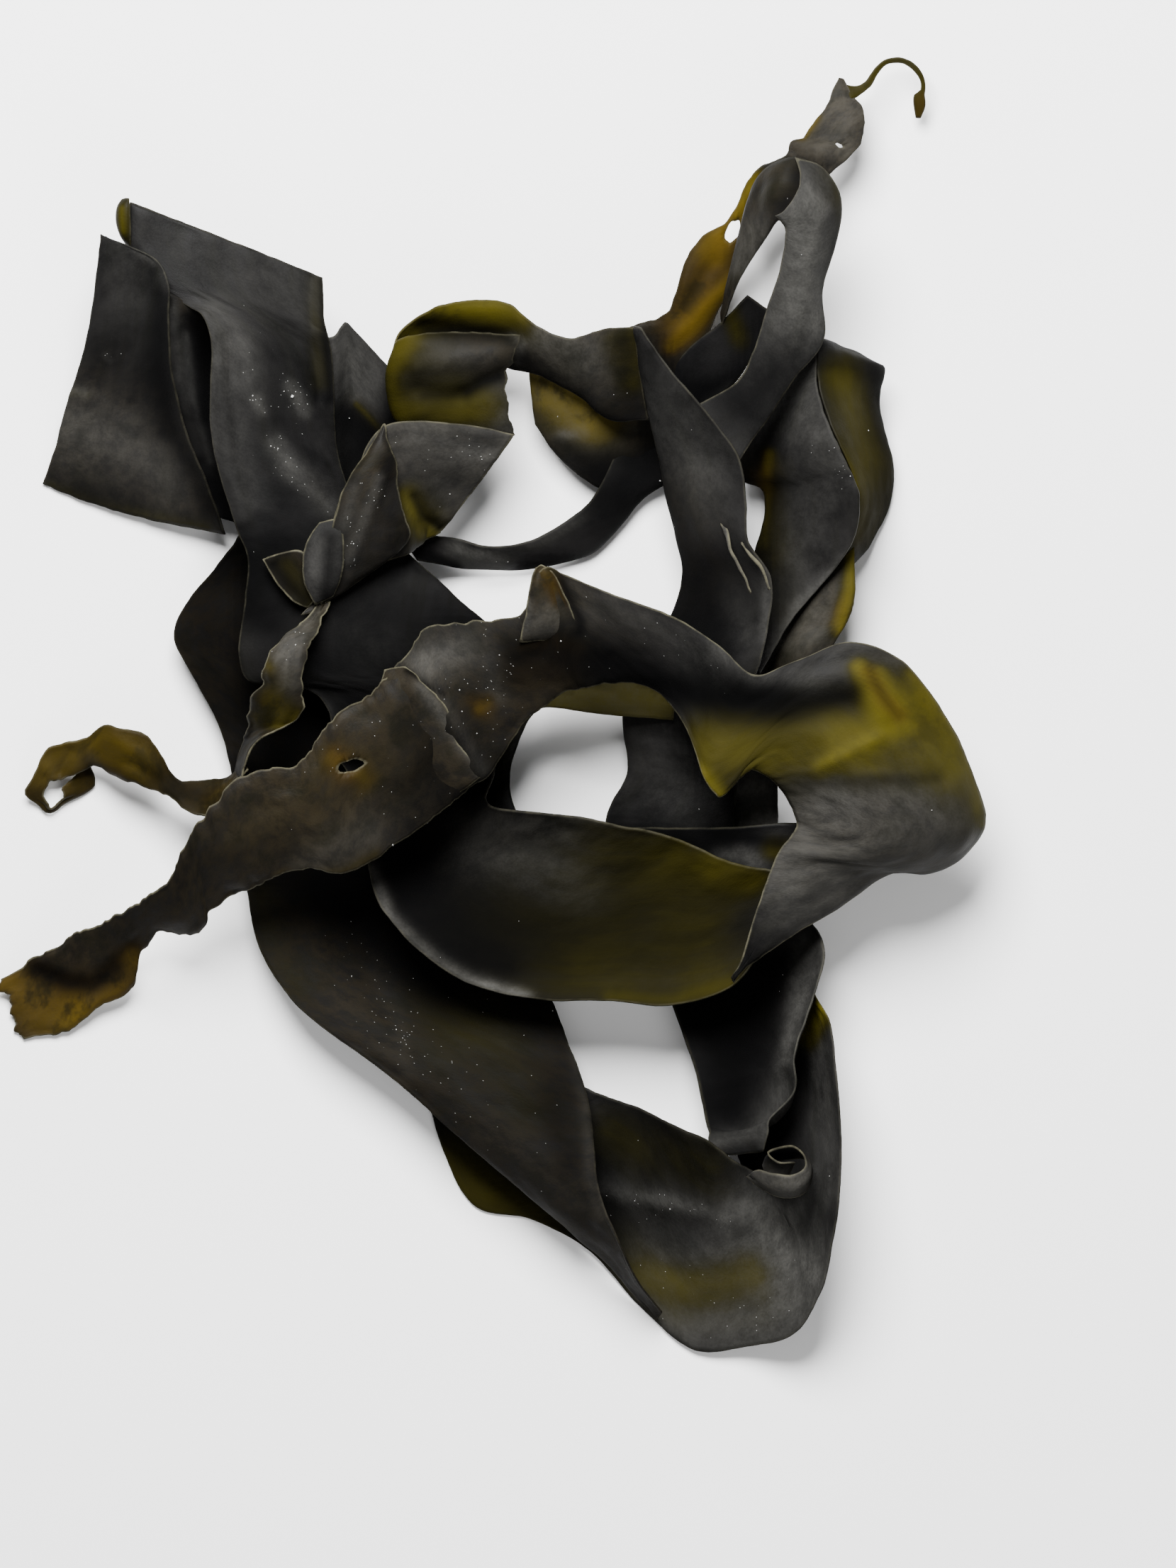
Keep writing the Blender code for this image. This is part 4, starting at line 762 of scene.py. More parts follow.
        "painted_shade": [0, (-4, 12, 18, 1, 30, 1.6, 46, 1), (0.6, 3, 4, 8, 0, -4)],
        "creases": [(-0.4, 1.2, 20, 6.4, 32, 5)],
    },
    # The strap that shows past the hollow strap's far edge, on its way under the big loop.
    "under_band": {
        "stations": [
            (24, -40, 15, 22, -47, 12, 0), (36, -34, 18, 38, -47, 13, 0),
            (50, -33.5, 22, 52, -46, 16, 0), (66, -33.5, 24, 66, -47, 19, 0),
            (84, -32, 25, 80, -50, 24, 0), (94, -34, 26, 90, -50, 28, 0),
        ],
        "rim": 0.4, "wrinkle": 0.5,
        "glow": [0, (0.5, 4, 78, -39.6, 84, -40.4, 90, -40)],
        "bloom_and_sheen": [0, (0.8, 3, 63.6, -41.4, 69, -41, 73.6, -43.6)],
        "painted_shade": [0, (0.8, 8, 40, -38, 57, -38.4), (0.8, 2.2, 62, -36.4, 72, -36.4, 80, -38),
            (0.5, 4, 52, -36, 62, -36)],
    },
    # The curled tip at the palm's upper left corner.
    "curled_corner": {
        "stations": [
            (-105.6, 143.8, 31.5, -103.6, 144, 32.5, 0),
            (-106.9, 141.3, 30.8, -103.3, 141.5, 33.5, 1),
            (-107, 137.5, 30.5, -103.1, 137, 33.5, 1.2), (-106, 134, 30, -103, 133.5, 32.5, 1),
            (-104.3, 131, 29.5, -103, 130.5, 31, 0),
        ],
        "ragged": 0.05, "frill": 0.1, "rim": 0.5, "wrinkle": 0.2,
        "glow": [0.3, (0.5, 1.2, -105.4, 141, -105.2, 135)],
    },
}
TONES = ("glow", "amber", "brown", "bloom_and_sheen", "salt", "painted_shade")
STROKE_SPREAD = 1.15     # a stroke fades over its reach times this
RIBBONS = []             # the straps that are made, for the salt to lie on

# Each strap has its own run of random numbers.
FIRST_SEED, SEED_STEP = 100, 17
SECOND_EDGE_SEED = 31
SALT_SEED = 41
LATTICE_SIZE = 64

# Wrinkles and edges, in millimetres.
FRILL_REACH = 3.4
FLATTER_RIM = 1.5        # wrinkles get flatter within this of an edge
EDGE_TAPER = 2.5         # the blade gets thinner within this of an edge
EDGE_THICKNESS = 0.6     # share of the thickness that is left at the edge

# Painted shade: the straps are darker where others lie over them, from the first depth on, and
# over the second up to the most. The topmost straps are mapped on square cells. Depths and cells
# are in mm.
COVER_CELL = 2.0
COVER_CORNER = np.array([-160.0, -210.0])
COVER_CELLS = (160, 210)
SHADE_FROM, SHADE_OVER, SHADE_MOST = 2, 12, 0.85

# The material.
BLADE_SPECULAR = 0.036
GRAIN_RELIEF = 0.35 * MM
SPECKS_PER_MM = 1.9

# Crystals, in millimetres.
SMALLEST_CRYSTAL, LARGEST_CRYSTAL = 0.15, 0.9
CLEAR_RIM = 0.6          # no crystal this close to an edge
CRYSTAL_SCATTER = 0.3

# The camera looks straight down on this stretch of floor, in metres.
VIEW_HEIGHT = 0.4424
VIEW_MIDDLE = (0.0272, -0.0219)
CAMERA_HEIGHT = 1.5
KEY_PLACE, KEY_WIDTH = (-0.12, 0.80, 1.10), 0.8
FILL_PLACE, FILL_WIDTH = (0.5, -1.1, 1.1), 1.2


# ---------------------------------------------------------------- shapes

def smooth_curve(values, places):
    """Read a smooth curve through the rows of values at the given places (0 is the first row)."""
    values = np.asarray(values, dtype=float)
    slopes = np.gradient(values, axis=0)
    index = np.clip(np.floor(places).astype(int), 0, len(values) - 2)
    t = (places - index)[:, None]
    start, end = values[index], values[index + 1]
    return (
        (2 * t**3 - 3 * t**2 + 1) * start
        + (t**3 - 2 * t**2 + t) * slopes[index]
        + (3 * t**2 - 2 * t**3) * end
        + (t**3 - t**2) * slopes[index + 1]
    )


def even_places(stations, step):
    """Places along the strap whose rows are about one step apart, and the strap's length."""
    fine = np.linspace(0, len(stations) - 1, 20 * len(stations))
    rows = smooth_curve(stations, fine)
    left = np.linalg.norm(np.diff(rows[:, 0:3], axis=0), axis=1)
    right = np.linalg.norm(np.diff(rows[:, 3:6], axis=0), axis=1)
    length = np.concatenate([[0.0], np.cumsum(0.5 * (left + right))])
    count = max(4, int(round(length[-1] / step)) + 1)
    return np.interp(np.linspace(0, length[-1], count), length, fine), length[-1]


def lattice_noise(x, y, seed):
    """Smooth noise between -1 and 1 with about one bump for each unit of x and y."""
    size = LATTICE_SIZE
    table = np.random.default_rng(seed).uniform(-1, 1, (size, size))
    ix, iy = np.floor(x).astype(int), np.floor(y).astype(int)
    fx, fy = x - ix, y - iy
    fx, fy = fx * fx * (3 - 2 * fx), fy * fy * (3 - 2 * fy)
    here, there = ix % size, (ix + 1) % size
    low, high = iy % size, (iy + 1) % size
    near = table[here, low] * (1 - fx) + table[there, low] * fx
    far = table[here, high] * (1 - fx) + table[there, high] * fx
    return near * (1 - fy) + far * fy


def layered_noise(x, y, seed, layers=3):
    """Noise with finer and weaker noise added on top."""
    total, strength = 0.0, 1.0
    for layer in range(layers):
        total = total + strength * lattice_noise(x * 2**layer, y * 2**layer, seed + layer)
        strength *= 0.5
    return total


def distance_to_line(points, line):
    """Distance in plan from each point to a line, given by the x, y of its points in turn."""
    line = np.reshape(line, (-1, 2)).astype(float)
    nearest = np.full(points.shape[:-1], np.inf)
    for start, end in zip(line[:-1], line[1:]):
        along = end - start
        share = ((points[..., :2] - start) @ along) / max(along @ along, 1e-9)
        foot = start + np.clip(share, 0, 1)[..., None] * along
        nearest = np.minimum(nearest, np.linalg.norm(points[..., :2] - foot, axis=-1))
    return nearest


def surface_normals(surface):
    normal = np.cross(np.gradient(surface, axis=0), np.gradient(surface, axis=1))
    return normal / np.maximum(np.linalg.norm(normal, axis=2), 1e-9)[:, :, None]


def strap_points(stations, step):
    """Points a step apart all over a strap, without its wrinkles."""
    stations = np.array(stations, dtype=float)
    rows = smooth_curve(stations, even_places(stations, step)[0])
    left, across = rows[:, 0:3], rows[:, 3:6] - rows[:, 0:3]
    share = np.linspace(0, 1, 2 + int(np.linalg.norm(across, axis=1).max() / step))
    points = left[:, None, :] + share[None, :, None] * across[:, None, :]
    return points.reshape(-1, 3)


def cover_map():
    """The height of the topmost strap over each cell of the floor, blurred."""
    step = 0.8 * COVER_CELL
    points = np.vstack([strap_points(strap["stations"], step) for strap in STRAPS.values()])
    cells = ((points[:, :2] - COVER_CORNER) / COVER_CELL).astype(int)
    height = np.zeros(COVER_CELLS)
    np.maximum.at(height, (cells[:, 0], cells[:, 1]), points[:, 2])
    for _ in range(3):
        for axis in (0, 1):
            height = sum(np.roll(height, shift, axis) for shift in (-2, -1, 0, 1, 2)) / 5
    return height


def depth_under_cover(points):
    """How far each point lies below the straps around it, in millimetres."""
    cells = ((points[..., :2] - COVER_CORNER) / COVER_CELL).astype(int)
    return cover_map()[cells[..., 0], cells[..., 1]] - points[..., 2]


class Ribbon:
    """One strap as a fine grid of points with its looks."""

    def __init__(self, name, sizes):
        self.name, self.sizes = name, sizes
        self.look = {**PLAIN_LOOK, **STRAPS[name]}
        self.seed = FIRST_SEED + SEED_STEP * list(STRAPS).index(name)
        self.make_surface(np.array(self.look["stations"], dtype=float))
        self.wrinkle()
        self.paint()
        self.cut_holes()

    def make_surface(self, stations):
        places, self.length = even_places(stations, self.sizes.grid_step / MM)
        rows = smooth_curve(stations, places)
        left, right, bow = rows[:, 0:3], rows[:, 3:6], rows[:, 6]
        self.along = np.linspace(0, self.length, len(rows))
        left, right = self.ragged_edges(left, right)
        across = right - left
        self.width = np.linalg.norm(across, axis=1)
        out = np.cross(np.gradient(0.5 * (left + right), axis=0), across)
        out /= np.linalg.norm(out, axis=1)[:, None]
        if out[:, 2].mean() < 0:
            out = -out
        columns = max(5, int(round(np.percentile(self.width, 80) / (self.sizes.grid_step / MM))))
        self.share = np.linspace(0, 1, columns + 1)
        self.arc = 4 * self.share * (1 - self.share)
        flat = left[:, None, :] + self.share[None, :, None] * across[:, None, :]
        self.surface = flat + self.arc[None, :, None] * bow[:, None, None] * out[:, None, :]
        self.u = np.broadcast_to(self.along[:, None], self.surface.shape[:2])
        self.v = self.share[None, :] * self.width[:, None]
        self.side = np.minimum(self.v, self.width[:, None] - self.v)
        self.rim = np.minimum(self.side, np.minimum(self.u, self.length - self.u))
        self.shape_ends()

    def shape_ends(self):
        """Draw the two cut ends out into a curve, or tear them."""
        forward = np.gradient(self.surface, axis=0)
        forward /= np.maximum(np.linalg.norm(forward, axis=2), 1e-9)[:, :, None]
        for number, (bulge, tear) in enumerate(self.look["ends"]):
            from_end = self.u if number == 0 else self.length - self.u
            fade = np.clip(1 - from_end / (8 * (abs(bulge) + tear) + 2), 0, 1) ** 1.5
            teeth = layered_noise(self.v / 2.6, 5.0 + 0 * self.v, self.seed + 20 + number, 3)
            shift = (bulge * self.arc[None, :] + tear * teeth) * fade * (-1 if number == 0 else 1)
            self.surface = self.surface + shift[:, :, None] * forward

    def ragged_edges(self, left, right):
        """Shift the edges in and out a little, as a torn blade's edges run."""
        across = right - left
        width = np.linalg.norm(across, axis=1)
        unit = across / width[:, None]
        nothing = np.zeros_like(self.along)
        shifts = []
        for number in (0, 1):
            seed = self.seed + SECOND_EDGE_SEED * number
            coarse = lattice_noise(self.along / 9.0, nothing, seed)
            middle = lattice_noise(self.along / 3.6, nothing, seed + 1)
            fine = lattice_noise(self.along / 1.5, nothing, seed + 2)
            torn = np.full_like(self.along, self.look["ragged"])
            for strength, reach, *line in self.look["frays"]:
                distance = distance_to_line((left, right)[number], line)
                torn = torn + strength * np.exp(-((distance / reach) ** 2))
            shift = torn * self.sizes.raggedness * (1.2 * coarse + 0.9 * middle + 0.5 * fine)
            shifts.append(np.minimum(shift, 0.2 * width)[:, None])
        return left + shifts[0] * unit, right - shifts[1] * unit

    def wrinkle(self):
        """Stand the wrinkles, the frilled edges and the creases out of the surface."""
        u, v, seed = self.u, self.v, self.seed
        depth = self.look["wrinkle"] * self.sizes.wrinkle_depth / MM
        swell = layered_noise(u / 26.0, v / 15.0, seed + 3, 2)
        cockle = layered_noise(u / 8.0, v / 6.0, seed + 5, 2)
        streak = lattice_noise(u / 24.0, v / 4.5, seed + 7)
        grain = lattice_noise(u / 2.2, v / 1.9, seed + 8)
        height = depth * (1.1 * swell + 0.42 * cockle + 0.2 * streak + 0.07 * grain)
        frill = self.look["frill"] * self.sizes.frill_height / MM
        edge = np.where(v > 0.5 * self.width[:, None], 9.0, 2.0)
        curl = lattice_noise(u / 7.0, edge, seed + 9)
        finer = lattice_noise(u / 2.8, edge, seed + 10)
        height = height + frill * (curl + 0.35 * finer) * np.exp(-((self.side / FRILL_REACH) ** 2))
        normal = surface_normals(self.surface)
        fade = np.clip(self.rim / FLATTER_RIM, 0.35, 1)
        self.surface = self.surface + (height * fade)[:, :, None] * normal
        upward = np.clip(3 * normal[:, :, 2], -1, 1)
        fold = np.zeros_like(u)
        for stands_out, reach, *line in self.look["creases"]:
            distance = distance_to_line(self.surface, line)
            fold = fold + stands_out * np.exp(-((distance / reach) ** 2))
        self.surface = self.surface + (fold * upward)[:, :, None] * normal
        self.normal = surface_normals(self.surface)

    def paint(self):
        """How strongly each tone shows at each point."""
        self.tones = {}
        for tone in TONES:
            whole_strap, *strokes = self.look.get(tone, [0])
            level = np.full(self.u.shape, float(whole_strap))
            for strength, reach, *line in strokes:
                distance = distance_to_line(self.surface, line)
                amount = strength * np.exp(-((distance / (STROKE_SPREAD * reach)) ** 2))
                level = level + amount * (1 - level)
            self.tones[tone] = level
        # Painted shade where other straps lie above this one.
        shade = np.clip((depth_under_cover(self.surface) - SHADE_FROM) / SHADE_OVER, 0, 1)
        painted_shade = 1 - (1 - self.tones["painted_shade"]) * (1 - SHADE_MOST * shade)
        self.tones["painted_shade"] = np.clip(painted_shade, 0, 1)

    def cut_holes(self):
        """Keep the cells that no hole takes, and draw the points near a hole onto its edge."""
        rows, columns = self.u.shape
        keep = np.ones((rows - 1, columns - 1), dtype=bool)
        for middle_x, middle_y, half_x, half_y, turn in self.look["holes"]:
            angle = np.radians(turn)
            middle = np.array([middle_x, middle_y])
            offset = self.surface[:, :, :2] - middle
            x = offset[..., 0] * np.cos(angle) + offset[..., 1] * np.sin(angle)
            y = -offset[..., 0] * np.sin(angle) + offset[..., 1] * np.cos(angle)
            turned = np.arctan2(y / half_y, x / half_x)
            uneven = 1 + 0.12 * np.sin(2 * turned + 1) + 0.06 * np.sin(5 * turned + 2)
            size = np.hypot(x / half_x, y / half_y) / uneven
            gone = np.any(self.cell_corners(size < 1), axis=0)
            keep &= ~gone
            at_edge = self.beside(gone) & self.beside(~gone)
            onto_edge = np.where(at_edge, 1 / np.maximum(size, 1e-6), 1.0)
            self.surface[:, :, :2] = middle + offset * onto_edge[:, :, None]
            edge = np.abs(size * onto_edge - 1) * min(half_x, half_y)
            self.rim = np.minimum(self.rim, edge)
        self.keep = keep

    @staticmethod
    def cell_corners(values):
        return values[:-1, :-1], values[1:, :-1], values[1:, 1:], values[:-1, 1:]

    @staticmethod
    def beside(cells):
        """The points that touch any of the marked cells."""
        return np.any(Ribbon.cell_corners(np.pad(cells, 1)), axis=0)

    def mesh_data(self):
        """Points and faces of the closed blade, upper side first."""
        thickness = self.sizes.thickness / MM
        body = np.clip(self.rim / EDGE_TAPER, 0, 1)
        half = 0.5 * thickness * (EDGE_THICKNESS + (1 - EDGE_THICKNESS) * body)[:, :, None]
        upper = (self.surface + half * self.normal).reshape(-1, 3)
        lower = (self.surface - half * self.normal).reshape(-1, 3)
        shift = len(upper)
        corners = self.cell_corners(np.arange(shift).reshape(self.u.shape))
        quads = np.stack([corner[self.keep] for corner in corners], axis=1)
        edges = np.concatenate([quads[:, [i, (i + 1) % 4]] for i in range(4)])
        key = edges[:, 0] * shift + edges[:, 1]
        back = edges[:, 1] * shift + edges[:, 0]
        rim = edges[~np.isin(key, back)]
        walls = np.stack([rim[:, 1], rim[:, 0], rim[:, 0] + shift, rim[:, 1] + shift], axis=1)
        faces = np.concatenate([quads, quads[:, ::-1] + shift, walls])
        points = np.concatenate([upper, lower])
        used = np.zeros(len(points), dtype=bool)
        used[faces.ravel()] = True
        renumber = np.cumsum(used) - 1
        return points, used, renumber[faces]


def new_mesh_object(name, points, faces, smooth=True):
    mesh = bpy.data.meshes.new(name)
    mesh.vertices.add(len(points))
    mesh.vertices.foreach_set("co", np.ascontiguousarray(points * MM, dtype=np.float32).ravel())
    mesh.loops.add(faces.size)
    mesh.loops.foreach_set("vertex_index", faces.astype(np.int32).ravel())
    mesh.polygons.add(len(faces))
    starts = np.arange(0, faces.size, faces.shape[1], dtype=np.int32)
    mesh.polygons.foreach_set("loop_start", starts)
    mesh.polygons.foreach_set("use_smooth", np.full(len(faces), smooth))
    mesh.update(calc_edges=True)
    mesh.validate()
    obj = bpy.data.objects.new(name, mesh)
    bpy.context.scene.collection.objects.link(obj)
    return obj


def add_levels(mesh, name, grid, used):
    """Write a number or a vector on each point of both sides of the blade."""
    values = np.tile(grid.reshape(-1, grid.shape[2] if grid.ndim == 3 else 1), (2, 1))[used]
    kind, field = ("FLOAT", "value") if values.shape[1] == 1 else ("FLOAT_VECTOR", "vector")
    layer = mesh.attributes.new(name, kind, "POINT")
    layer.data.foreach_set(field, values.astype(np.float32).ravel())


def ribbon_object(ribbon, material):
    """The finished strap, with its tones written on its points for the material to read."""
    points, used, faces = ribbon.mesh_data()
    obj = new_mesh_object(ribbon.name, (points + STATION_SHIFT)[used], faces)
    everywhere = np.ones(ribbon.u.shape)
    place = np.stack([ribbon.u, ribbon.v, 7.0 * ribbon.seed * everywhere], axis=2)
    for name, grid in {
        **ribbon.tones, "rim": ribbon.rim, "pale_edge_and_highlight": ribbon.look["rim"] * everywhere,
        "place": place,
    }.items():
        add_levels(obj.data, name, grid, used)
    obj.data.materials.append(material)
    finish_piece(obj)


def finish_piece(obj):
    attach(obj, "root")
    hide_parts(NODE)


# ---------------------------------------------------------------- materials

class Nodes:
    """Short ways to add and join a material's nodes."""

    def __init__(self, material):
        material.use_nodes = True
        self.tree = material.node_tree
        self.shader = self.tree.nodes["Principled BSDF"]

    def add(self, kind, **settings):
        node = self.tree.nodes.new(kind)
        for name, value in settings.items():
            setattr(node, name, value)
        return node

    def feed(self, socket, value):
        if isinstance(value, bpy.types.NodeSocket):
            self.tree.links.new(value, socket)
        elif isinstance(value, (tuple, list)) and len(value) == 3 and socket.type == "RGBA":
            socket.default_value = (*value, 1.0)
        else:
            socket.default_value = value

    def math(self, operation, a, b=0.0, clamp=False):
        node = self.add("ShaderNodeMath", operation=operation, use_clamp=clamp)
        self.feed(node.inputs[0], a)
        self.feed(node.inputs[1], b)
        return node.outputs[0]

    def times(self, first, *others):
        """The numbers multiplied together, one after another."""
        for other in others:
            first = self.math("MULTIPLY", first, other)
        return first

    def plus(self, first, *others):
        for other in others:
            first = self.math("ADD", first, other)
        return first

    def between(self, value, low, high, to_low=0.0, to_high=1.0):
        """The value's place between low and high, eased and turned into a new range."""
        node = self.add("ShaderNodeMapRange", interpolation_type="SMOOTHSTEP")
        for name, number in (("Value", value), ("From Min", low), ("From Max", high)):
            self.feed(node.inputs[name], number)
        node.inputs["To Min"].default_value = to_low
        node.inputs["To Max"].default_value = to_high
        return node.outputs["Result"]

    def mix(self, share, a, b):
        node = self.add("ShaderNodeMix", data_type="RGBA", clamp_factor=True)
        self.feed(node.inputs["Factor"], share)
        self.feed(node.inputs[6], a)
        self.feed(node.inputs[7], b)
        return node.outputs[2]

    def level(self, name):
        node = self.add("ShaderNodeAttribute", attribute_type="GEOMETRY", attribute_name=name)
        return node.outputs["Fac"]

    def noise(self, vector, scale, detail=3.0, roughness=0.55):
        node = self.add("ShaderNodeTexNoise", noise_dimensions="3D")
        self.feed(node.inputs["Vector"], vector)
        node.inputs["Scale"].default_value = scale
        node.inputs["Detail"].default_value = detail
        node.inputs["Roughness"].default_value = roughness
        return node.outputs["Fac"]

    def stretched(self, vector, scale):
        node = self.add("ShaderNodeMapping", vector_type="POINT")
        self.feed(node.inputs["Vector"], vector)
        node.inputs["Scale"].default_value = scale
        return node.outputs["Vector"]

    def ramp(self, value, stops):
        node = self.add("ShaderNodeValToRGB")
        elements = node.color_ramp.elements
        while len(elements) < len(stops):
            elements.new(0.5)
        for element, (position, colour) in zip(elements, stops):
            element.position = position
            element.color = (*colour, 1.0)
        self.feed(node.inputs["Fac"], value)
        return node.outputs["Color"]


def blade_material(colours):
    """Dried blade: slate to brown leather, olive and amber painted light where light comes
    through the thin blade, a whitish salt coat with painted sheen, and painted shade in hollows.
    """
    material = bpy.data.materials.new("dried_blade")
    n = Nodes(material)
    place = n.add("ShaderNodeAttribute", attribute_type="GEOMETRY", attribute_name="place")
    place = place.outputs["Vector"]
    clouds = n.noise(place, 0.05, 3.0)
    patches = n.noise(place, 0.22, 5.0, 0.65)
    stain = n.noise(place, 0.1, 4.0, 0.6)
    grain = n.noise(place, 1.4, 3.0, 0.6)
    streaks = n.noise(n.stretched(place, (0.02, 0.17, 1.0)), 1.0, 4.0, 0.6)

    dark = n.mix(n.between(clouds, 0.35, 0.65), tuple(colours.charcoal), tuple(colours.slate))
    dark = n.mix(n.between(streaks, 0.45, 0.8, 0.0, 0.5), dark, tuple(colours.green_black))
    dark = n.mix(n.between(patches, 0.5, 0.85, 0.0, 0.4), dark, tuple(colours.slate))
    brown_share = n.times(n.level("brown"), n.between(patches, 0.36, 0.62, 0.3, 1.0))
    dark = n.mix(brown_share, dark, tuple(colours.brown))

    # Painted light through the thin blade: olive to bright yellow, amber where the blade is brown.
    glow = n.level("glow")
    mottle = n.plus(n.times(clouds, 0.35), n.times(streaks, 0.25))
    wander = n.times(n.math("SUBTRACT", mottle, 0.3), n.between(glow, 0.02, 0.4))
    glow = n.math("ADD", glow, wander, clamp=True)
    olive, bright = tuple(colours.olive), tuple(colours.bright_olive)
    olive_tone = n.ramp(glow, [(0.0, tuple(colours.green_black)), (0.45, olive), (1.0, bright)])
    amber_tone = n.ramp(glow, [
        (0.0, tuple(colours.brown)), (0.45, tuple(colours.rust)), (1.0, tuple(colours.amber)),
    ])
    warm = n.mix(n.level("amber"), olive_tone, amber_tone)
    colour = n.mix(n.between(glow, 0.05, 0.5), dark, warm)
    stains = n.times(n.level("brown"), n.between(stain, 0.48, 0.66, 0.0, 0.75))
    colour = n.mix(stains, colour, tuple(colours.green_black))
    # Painted shade: near-black in hollows, folds and under other straps.
    colour = n.mix(n.times(n.level("painted_shade"), 0.92), colour, tuple(colours.shade_black))

    # Whitish salt film, partly real bloom and partly painted sheen where light falls.
    bloom_and_sheen = n.math("MAXIMUM", n.level("bloom_and_sheen"), n.times(n.level("salt"), 0.5))
    bloom_and_sheen_film = n.times(
        n.math("POWER", bloom_and_sheen, 1.3),
        n.between(patches, 0.3, 0.7, 0.55, 1.0),
        n.math("SUBTRACT", 1.0, n.times(n.level("painted_shade"), 0.85), clamp=True),
        n.between(grain, 0.25, 0.7, 0.7, 1.0),
        n.between(glow, 0.2, 0.6, 1.0, 0.4),
        n.math("SUBTRACT", 1.0, n.times(stains, 0.6)),
    )
    colour = n.mix(bloom_and_sheen_film, colour, tuple(colours.bloom_and_sheen))
    specks = n.add("ShaderNodeTexVoronoi", feature="F1", voronoi_dimensions="3D")
    n.feed(specks.inputs["Vector"], place)
    specks.inputs["Scale"].default_value = SPECKS_PER_MM
    chance = n.add("ShaderNodeSeparateColor")
    n.feed(chance.inputs["Color"], specks.outputs["Color"])
    rare = n.math("LESS_THAN", chance.outputs["Red"], n.times(n.level("salt"), 0.16))
    speck = n.times(rare, n.between(specks.outputs["Distance"], 0.1, 0.32, 1.0, 0.0))
    colour = n.mix(n.times(speck, 0.35), colour, tuple(colours.salt))

    # Pale torn edges, partly a painted highlight along the rim.
    edge = n.times(
        n.between(n.level("rim"), 0.1, 0.6, 1.0, 0.0),
        n.math("POWER", n.level("pale_edge_and_highlight"), 1.8),
        n.between(patches, 0.35, 0.65, 0.3, 1.0),
    )
    colour = n.mix(edge, colour, tuple(colours.pale_edge_and_highlight))
    n.feed(n.shader.inputs["Base Color"], colour)

    rough = n.plus(
        n.between(patches, 0.2, 0.8, 0.36, 0.50), n.times(bloom_and_sheen_film, 0.4), n.times(grain, 0.06),
        n.times(n.between(glow, 0.2, 0.8), 0.2),
    )
    rough = n.math("ADD", rough, n.times(n.level("painted_shade"), 0.6), clamp=True)
    n.feed(n.shader.inputs["Roughness"], rough)
    n.shader.inputs["Specular IOR Level"].default_value = BLADE_SPECULAR

    relief = n.plus(
        n.times(grain, 0.35), n.times(streaks, 0.5), n.times(patches, 0.8), n.times(speck, 0.6),
    )
    bump = n.add("ShaderNodeBump")
    bump.inputs["Strength"].default_value = 0.5
    bump.inputs["Distance"].default_value = GRAIN_RELIEF
    n.feed(bump.inputs["Height"], relief)
    n.feed(n.shader.inputs["Normal"], bump.outputs["Normal"])
    return material


def salt_material(colours):
    material = bpy.data.materials.new("salt_crystal")
    n = Nodes(material)
    own = n.add("ShaderNodeTexCoord").outputs["Object"]
    cloudy = n.noise(own, 900.0, 2.0)
    n.feed(n.shader.inputs["Base Color"], n.mix(cloudy, tuple(colours.salt), tuple(colours.bloom_and_sheen)))
    n.feed(n.shader.inputs["Roughness"], n.between(cloudy, 0.3, 0.7, 0.2, 0.45))
    return material


def floor_material(stage):
    material = bpy.data.materials.new("pale_floor")
    n = Nodes(material)
    own = n.add("ShaderNodeTexCoord").outputs["Object"]
    shade = n.noise(own, 3.0, 2.0)
    paler = tuple(min(1.0, 1.01 * channel) for channel in stage.floor_colour)
    n.feed(n.shader.inputs["Base Color"], n.mix(shade, tuple(stage.floor_colour), paler))
    n.shader.inputs["Roughness"].default_value = 0.9
    n.shader.inputs["Specular IOR Level"].default_value = 0.1
    return material


# ---------------------------------------------------------------- sizes and colours

def size_property(name, description, default, low, high):
    return FloatProperty(
        name=name, description=description, default=default, min=low, max=high,
        subtype="DISTANCE", unit="LENGTH",
    )


def colour_property(name, description, default):
    return FloatVectorProperty(
        name=name, description=description, default=default, min=0.0, max=1.0, size=3,
        subtype="COLOR",
    )


class KelpSizes(PropertyGroup):
    thickness: size_property("Thickness", "Of the dried blade", 0.8 * MM, 0.3 * MM, 1.2 * MM)
    grid_step: size_property("Grid step", "Between the blade's points", 1.0 * MM, 0.6 * MM, 4 * MM)
    wrinkle_depth: size_property("Wrinkles", "How far wrinkles stand out", 0.75 * MM, 0.0, 3 * MM)
    frill_height: size_property("Frills", "How far the edges wave", 1.0 * MM, 0.0, 4 * MM)
    raggedness: FloatProperty(
        name="Raggedness", description="How torn the edges are", default=1.0, min=0.0, max=3.0,
    )
    crystal_size: size_property("Crystal", "A common salt crystal", 0.2 * MM, 0.1 * MM, 1 * MM)
    crystal_count: IntProperty(
        name="Crystals", description="How many salt crystals lie on the blade", default=120,
        min=0, max=8000,
    )


